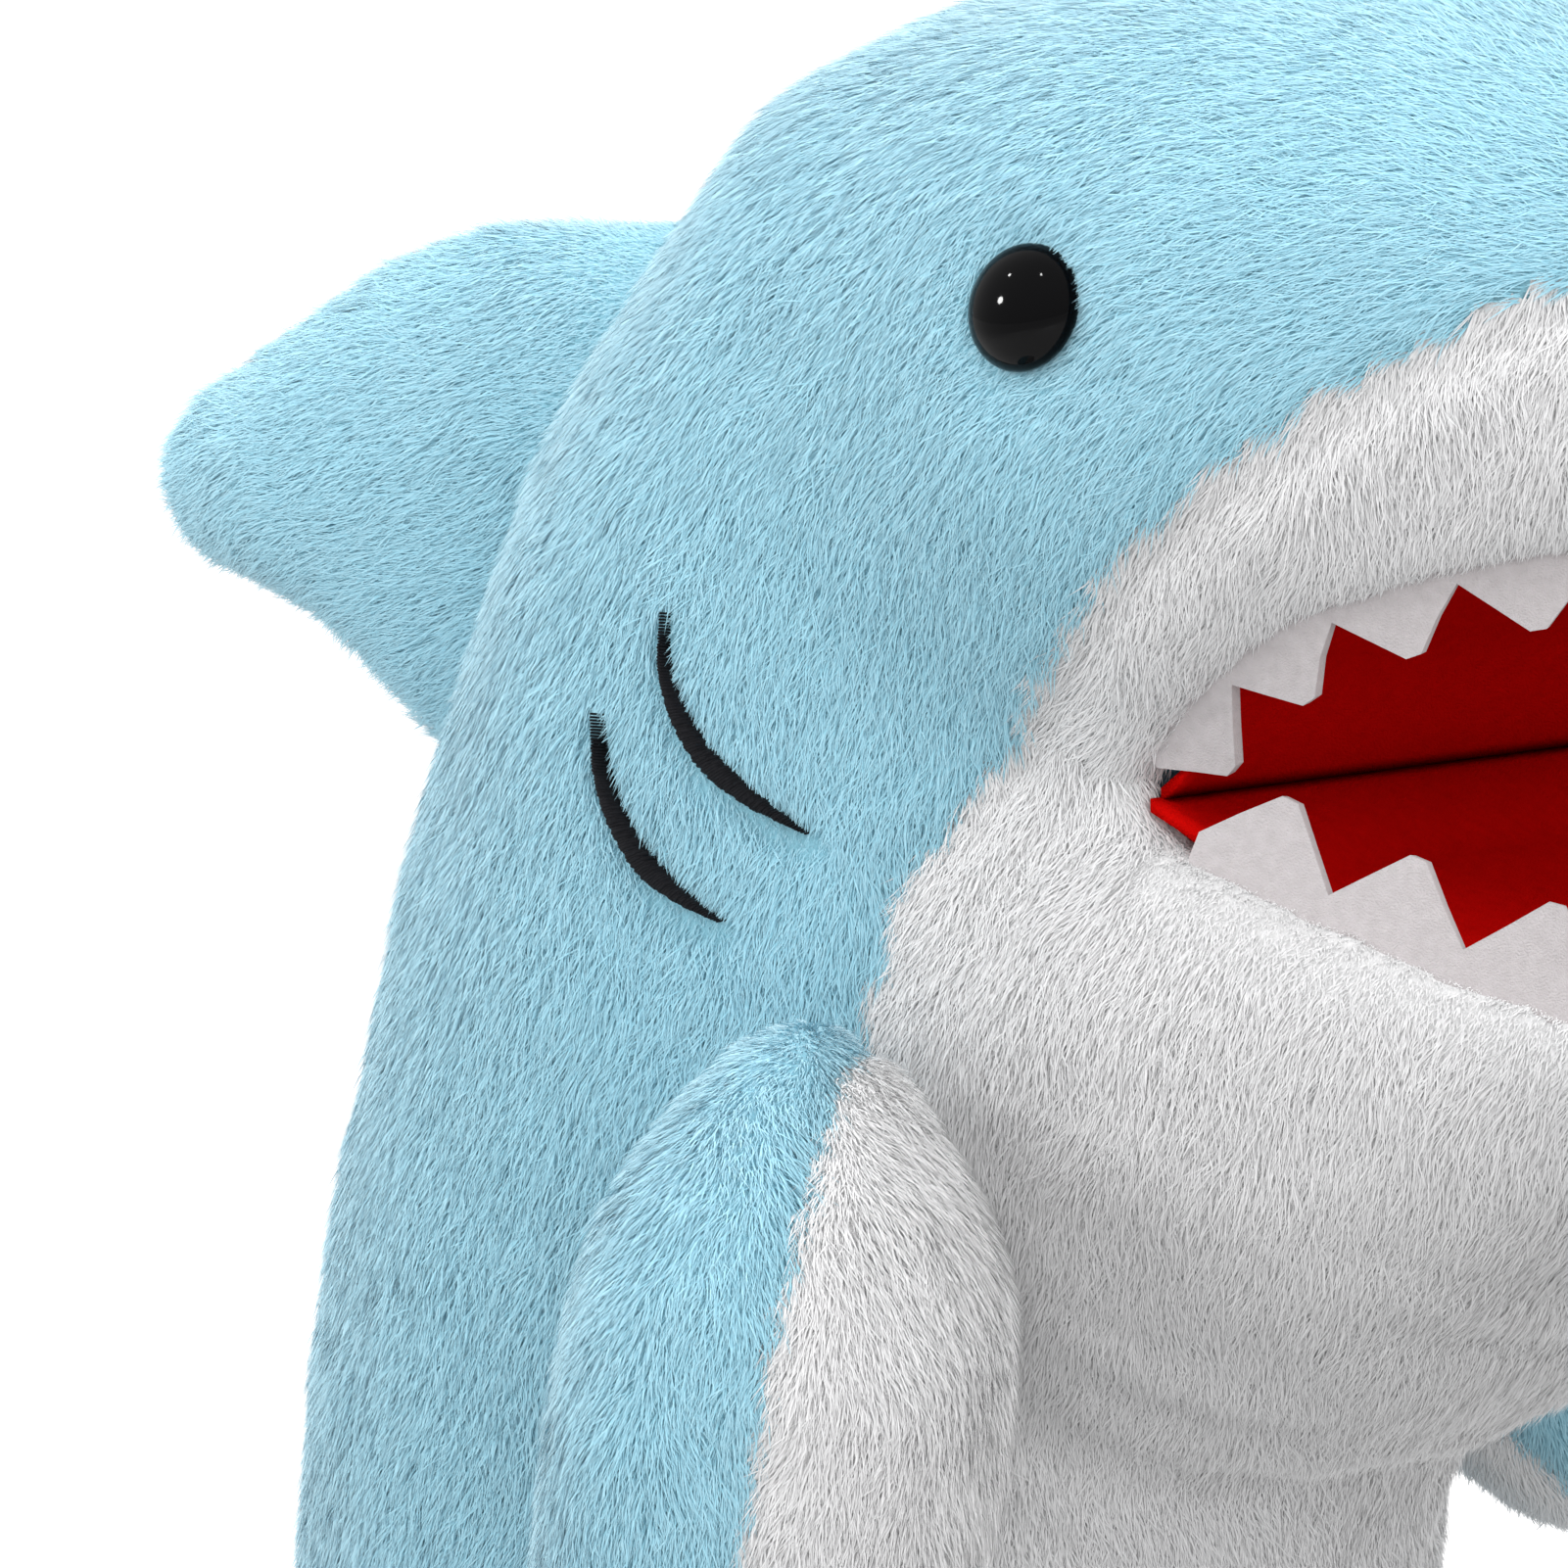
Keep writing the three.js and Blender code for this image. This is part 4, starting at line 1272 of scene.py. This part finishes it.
def gill(name, line, side, seed):
    """A crescent of satin stitches, widest at its middle."""
    rng = np.random.default_rng(seed)
    curve = eased(line, 120)
    step = np.hypot(*np.diff(curve, axis=0).T)
    s = np.concatenate([[0], np.cumsum(step)])
    count = int(s[-1] / 0.30)
    threads = []
    for k in range(count):
        share = (k + 0.5) / count
        y, z = (np.interp(share * s[-1], s, curve[:, i]) for i in (0, 1))
        y2, z2 = (np.interp(min(share + 0.02, 1) * s[-1], s, curve[:, i]) for i in (0, 1))
        y1, z1 = (np.interp(max(share - 0.02, 0) * s[-1], s, curve[:, i]) for i in (0, 1))
        at, away = side_point(y, z, side)
        t = unit(np.array([0, y2 - y1, z2 - z1]))
        slant = unit(np.cross(away, t) + 0.35 * t)
        half = 0.02 + 0.86 * math.sin(math.pi * share ** 1.25) ** 1.3 * rng.uniform(0.8, 1.15)
        rise = np.array([-0.9, 0.9, 1.35, 1.45, 1.35, 0.9, -0.9]) + 0.45 + rng.uniform(0, 0.2)
        over = np.array([-1.1, -1.0, -0.6, 0.0, 0.6, 1.0, 1.1]) * half
        path = at + np.outer(over, slant) + np.outer(rise, away)
        threads.append(tube(path, 0.10 + 0.12 * min(1, half / 0.5), 6))
    return gather(name, threads)


class SHARK_OT_gills(bpy.types.Operator):
    """Works two satin-stitched gill crescents on each cheek"""
    bl_idname = "shark.gills"
    bl_label = "Gill stitches"

    def execute(self, context):
        for side, label in ((-1, "right"), (1, "left")):
            for place_name, line in zip(("front", "rear"), GILLS):
                name = f"gill_satin_{place_name}_{label}"
                body = gill(name, line, side, 70 + side)
                finish(body, black_thread(), "black_thread", "sleeve",
                       f"gill_stitch_{place_name}_{label}")
        return {"FINISHED"}


# ---------------------------------------------------------------- the inside
HEM_ROW, HEM_STITCHES = -184.0, 96
LINING_SPAN, LINING_INSET = (-187.0, -14.0), 6.4
MOUTH_SIDES = {"head_stuffing": (UPPER_LIP, 1), "jaw_stuffing": (LOWER_LIP, -1)}
STUFFED = {
    "head_stuffing": "head", "jaw_stuffing": "jaw", "pectoral_right_stuffing": "pectoral_right",
    "pectoral_left_stuffing": "pectoral_left", "dorsal_fin_stuffing": "dorsal_fin",
    "tail_fin_stuffing": "tail_fin",
}


def sleeve_ring(z, inset, sides=160):
    """A level ring of points inside the sleeve's outside."""
    rows = np.array(SLEEVE, float)
    y, wide, back, belly = (np.interp(z, rows[:, 0], rows[:, k]) for k in (1, 2, 3, 4))
    turn = np.linspace(0, 2 * math.pi, sides, endpoint=False)
    half = np.where(np.sin(turn) > 0, back, belly) - inset
    return np.column_stack([(wide - inset) * np.cos(turn), y + half * np.sin(turn),
                            np.full(sides, z)])


def ring_body(name, levels, closed=True):
    """A band from rings at (height, inset) pairs, closed on itself."""
    rings = [sleeve_ring(z, inset) for z, inset in levels]
    n, m = len(rings[0]), len(rings)
    faces = []
    for k in range(m if closed else m - 1):
        for i in range(n):
            j, up = (i + 1) % n, (k + 1) % m
            faces.append((k * n + i, k * n + j, up * n + j, up * n + i))
    return new_mesh(name, place(np.concatenate(rings)), faces)


def hem_levels():
    """Heights and insets of the folded hem's rounded section."""
    middle, half = (HEM_BOTTOM + HEM_TOP) / 2, (HEM_TOP - HEM_BOTTOM) / 2
    turn = np.linspace(0, 2 * math.pi, 20, endpoint=False)
    return [(middle + half * math.copysign(abs(math.sin(a)) ** 0.6, math.sin(a)),
             3.0 - 2.6 * math.cos(a)) for a in turn]


class SHARK_OT_inside(bpy.types.Operator):
    """Makes the hem, the lining and the loose filling"""
    bl_idname = "shark.inside"
    bl_label = "Hem, lining and filling"

    def execute(self, context):
        hem = ring_body("folded_hem", hem_levels())
        finish(hem, lining_cloth(), "lining_cloth", "sleeve", "hem_band")
        stitches = []
        line = sleeve_ring(HEM_ROW, 0.1, HEM_STITCHES * 4)
        for k in range(HEM_STITCHES):
            path = line[k * 4:k * 4 + 3]
            middle = path.mean(0)
            away = unit(middle - (0, 68.0, HEM_ROW))
            lift = np.array([-0.4, 0.35, -0.4])[:, None] * away
            stitches.append(tube(path + lift, 0.28, 6))
        run = gather("hem_stitching", stitches)
        finish(run, white_thread(), "lining_cloth", "sleeve")
        heights = np.linspace(*LINING_SPAN, 60)
        tube_wall = ring_body("sleeve_inner_lining", [(z, LINING_INSET) for z in heights], False)
        points, _ = arrays(tube_wall)
        local = (points - HINGE) / MM
        normal = unit(local - np.column_stack([np.zeros(len(local)), np.full(len(local), 62.0),
                                               local[:, 2]]))
        local -= normal * (0.8 + 0.8 * noise(local, 13.0, 81))[:, None]
        put_back(tube_wall, place(local))
        thicken(tube_wall, 0.0008)
        finish(tube_wall, lining_cloth(), "lining_cloth", "sleeve", "sleeve_lining")
        for node, body in STUFFED.items():
            finish(loose_filling(node), loose_fibre(), "fibre_filling", body, node)
        nodes = frame["nodes"]
        for node in ("finger_pocket", "thumb_pocket"):
            refinish(nodes[node], lining_cloth())
        for node in ("eye_washer_left", "eye_washer_right"):
            refinish(nodes[node], clear_plastic())
        return {"FINISHED"}


def white_thread(name="white_thread"):
    return once(name, lambda n: mottled(n, (0.6, 0.6, 0.6), (0.8, 0.8, 0.8), 0.001, 0.0001,
                                        0.6, 0.2))


def refinish(node, mat):
    """Gives a carried-over CAD piece a finish in all of its slots."""
    for k in range(max(len(node.material_slots), 1)):
        if not node.material_slots:
            node.data.materials.append(mat)
        else:
            node.material_slots[k].material = mat


def loose_filling(node):
    """The filling's lump, with the uneven surface of teased fibre."""
    source = frame["nodes"][node]
    body = bpy.data.objects.new(f"fibre_{node}", source.data.copy())
    bpy.context.scene.collection.objects.link(body)
    remesh(body, 0.004)
    relax(body, 3)
    points, _ = arrays(body)
    lumps = 0.7 * noise(points / MM, 9.0, 91) - 0.9
    points = (points - HINGE) / MM + point_normals(body) * lumps[:, None]
    if node in MOUTH_SIDES:
        line, side = MOUTH_SIDES[node]
        edge = lip_height(points[:, 1], line) + side * 3.0
        points[:, 2] = side * np.maximum(side * points[:, 2], side * edge)
    elif STUFFED[node] in FINS:
        fin = FINS[STUFFED[node]]
        turn, root = fin_frame(fin)
        local = (points - root) @ turn
        local[:, 2] *= 0.94 * fin_taper(fin, local[:, 1])
        points = local @ turn.T + root
    put_back(body, place(points))
    body.data.shade_smooth()
    return body


# ---------------------------------------------------------------- the stage
FRAME_WIDE = 0.1482
CAMERA_OFF = 1.5
FLOOR_RINGS = (0.4, 40.0)
FLOOR_GLOW = 0.22
PICTURE_AT = (-0.037, 0.0018)
CATCH_LIGHTS = (  # towards the light, its width, its power
    ((-0.61, 0.71, 0.34), 0.075, 1.6),
    ((-0.41, 0.64, 0.65), 0.04, 0.5),
    ((-0.47, -0.03, 0.88), 0.05, 0.8),
)
SOFT_LIGHTS = (  # name, back, right and up from the mouth corner, width, power
    ("key", (0.5, 0.55, 0.75), 0.9, 6.5),
    ("fill", (0.7, -0.9, 0.25), 0.9, 3.0),
    ("front", (0.95, 0.15, 0.12), 0.6, 3.0),
    ("rim", (-0.5, -0.5, 0.9), 0.7, 4.0),
)


def area_light(name, at, target, size, power, colour=(1, 1, 1)):
    data = bpy.data.lights.new(name, "AREA")
    data.shape, data.size, data.energy, data.color = "DISK", size, power, colour
    lamp = bpy.data.objects.new(name, data)
    lamp.location = at
    lamp.rotation_euler = (Vector(target) - Vector(at)).to_track_quat("-Z", "Y").to_euler()
    bpy.context.scene.collection.objects.link(lamp)
    return lamp


class SHARK_OT_stage(bpy.types.Operator):
    """Sets the pale floor, the soft lights and the camera"""
    bl_idname = "shark.stage"
    bl_label = "Floor, lights and camera"

    def execute(self, context):
        scene = context.scene
        scene.view_settings.view_transform = "Standard"
        world = bpy.data.worlds.new("pale_room")
        world.use_nodes = True
        sky = world.node_tree.nodes["Background"]
        sky.inputs["Strength"].default_value = 1.0
        tree = world.node_tree
        aim = tree.nodes.new("ShaderNodeTexCoord").outputs["Generated"]
        split = tree.nodes.new("ShaderNodeSeparateXYZ")
        ramp = tree.nodes.new("ShaderNodeMapRange")
        ramp.inputs["From Min"].default_value = -0.9
        ramp.inputs["From Max"].default_value = 0.9
        ramp.inputs["To Min"].default_value = 0.6
        ramp.inputs["To Max"].default_value = 1.05
        tree.links.new(aim, split.inputs[0])
        tree.links.new(split.outputs["Z"], ramp.inputs["Value"])
        tree.links.new(ramp.outputs[0], sky.inputs["Color"])
        scene.world = world
        turn = np.linspace(0, 2 * math.pi, 96, endpoint=False)
        rings = [np.column_stack([r * np.cos(turn), r * np.sin(turn), np.zeros(96)])
                 for r in FLOOR_RINGS]
        n = 96
        faces = [tuple(range(n))]
        faces += [(i, i + n, (i + 1) % n + n, (i + 1) % n) for i in range(n)]
        floor = new_mesh("pale_floor", np.concatenate(rings), faces)
        mat = mottled("floor_paper", (0.90, 0.90, 0.90), (0.92, 0.92, 0.92), 0.05, 0.0001, 0.9, 0)
        dial(mat, "Emission Color", (1, 1, 1, 1))
        dial(mat, "Emission Strength", FLOOR_GLOW)
        floor.data.materials.append(mat)
        floor.visible_diffuse = False

        a, e = math.radians(VIEW_TURN), math.radians(VIEW_RISE)
        back = Vector((math.sin(a) * math.cos(e), -math.cos(a) * math.cos(e), math.sin(e)))
        right = Vector((math.cos(a), math.sin(a), 0))
        up = back.cross(right)
        corner = Vector(place([-42.0, 0, 0]))
        target = corner + right * PICTURE_AT[0] + up * PICTURE_AT[1]
        lens = bpy.data.cameras.new("camera")
        lens.sensor_width = 36.0
        lens.lens = 36.0 * CAMERA_OFF / FRAME_WIDE
        lens.clip_end = 100.0
        camera = bpy.data.objects.new("camera", lens)
        camera.location = target + back * CAMERA_OFF
        camera.rotation_euler = (-back).to_track_quat("-Z", "Y").to_euler()
        scene.collection.objects.link(camera)
        scene.camera = camera

        eye = Vector(place([-52.0, *EYE_PLACE]))
        for k, (way, size, power) in enumerate(CATCH_LIGHTS):
            area_light(f"catch_{k + 1}", eye + Vector(way).normalized() * 0.8, eye, size, power)
        for name, (b, r, u), size, power in SOFT_LIGHTS:
            at = corner + back * b + right * r + Vector((0, 0, u))
            area_light(name, at, corner, size, power).visible_glossy = False
        return {"FINISHED"}


# ---------------------------------------------------------------- the add-on
class SHARK_PT_panel(bpy.types.Panel):
    """Lists the steps that make the puppet"""
    bl_idname = "SHARK_PT_panel"
    bl_label = "Plush shark"
    bl_space_type = "VIEW_3D"
    bl_region_type = "UI"
    bl_category = "Shark"

    def draw(self, context):
        for group in (context.scene.shark_shape, context.scene.shark_colours):
            box = self.layout.box()
            for prop in group.bl_rna.properties:
                if prop.identifier not in ("rna_type", "name"):
                    box.prop(group, prop.identifier)
        for step in STEPS:
            self.layout.operator(step.bl_idname)


STEPS = (SHARK_OT_stage, SHARK_OT_skins, SHARK_OT_fins, SHARK_OT_mouth, SHARK_OT_eyes,
         SHARK_OT_gills, SHARK_OT_inside)
CLASSES = (SharkShape, SharkColours, *STEPS, SHARK_PT_panel)


def register():
    for item in CLASSES:
        bpy.utils.register_class(item)
    bpy.types.Scene.shark_shape = bpy.props.PointerProperty(type=SharkShape)
    bpy.types.Scene.shark_colours = bpy.props.PointerProperty(type=SharkColours)


def unregister():
    del bpy.types.Scene.shark_colours
    del bpy.types.Scene.shark_shape
    for item in reversed(CLASSES):
        bpy.utils.unregister_class(item)


def main():
    register()
    for step in STEPS:
        group, name = step.bl_idname.split(".")
        getattr(getattr(bpy.ops, group), name)()
    bpy.data.objects.remove(FORMS["form"])


if __name__ == "__main__":
    main()
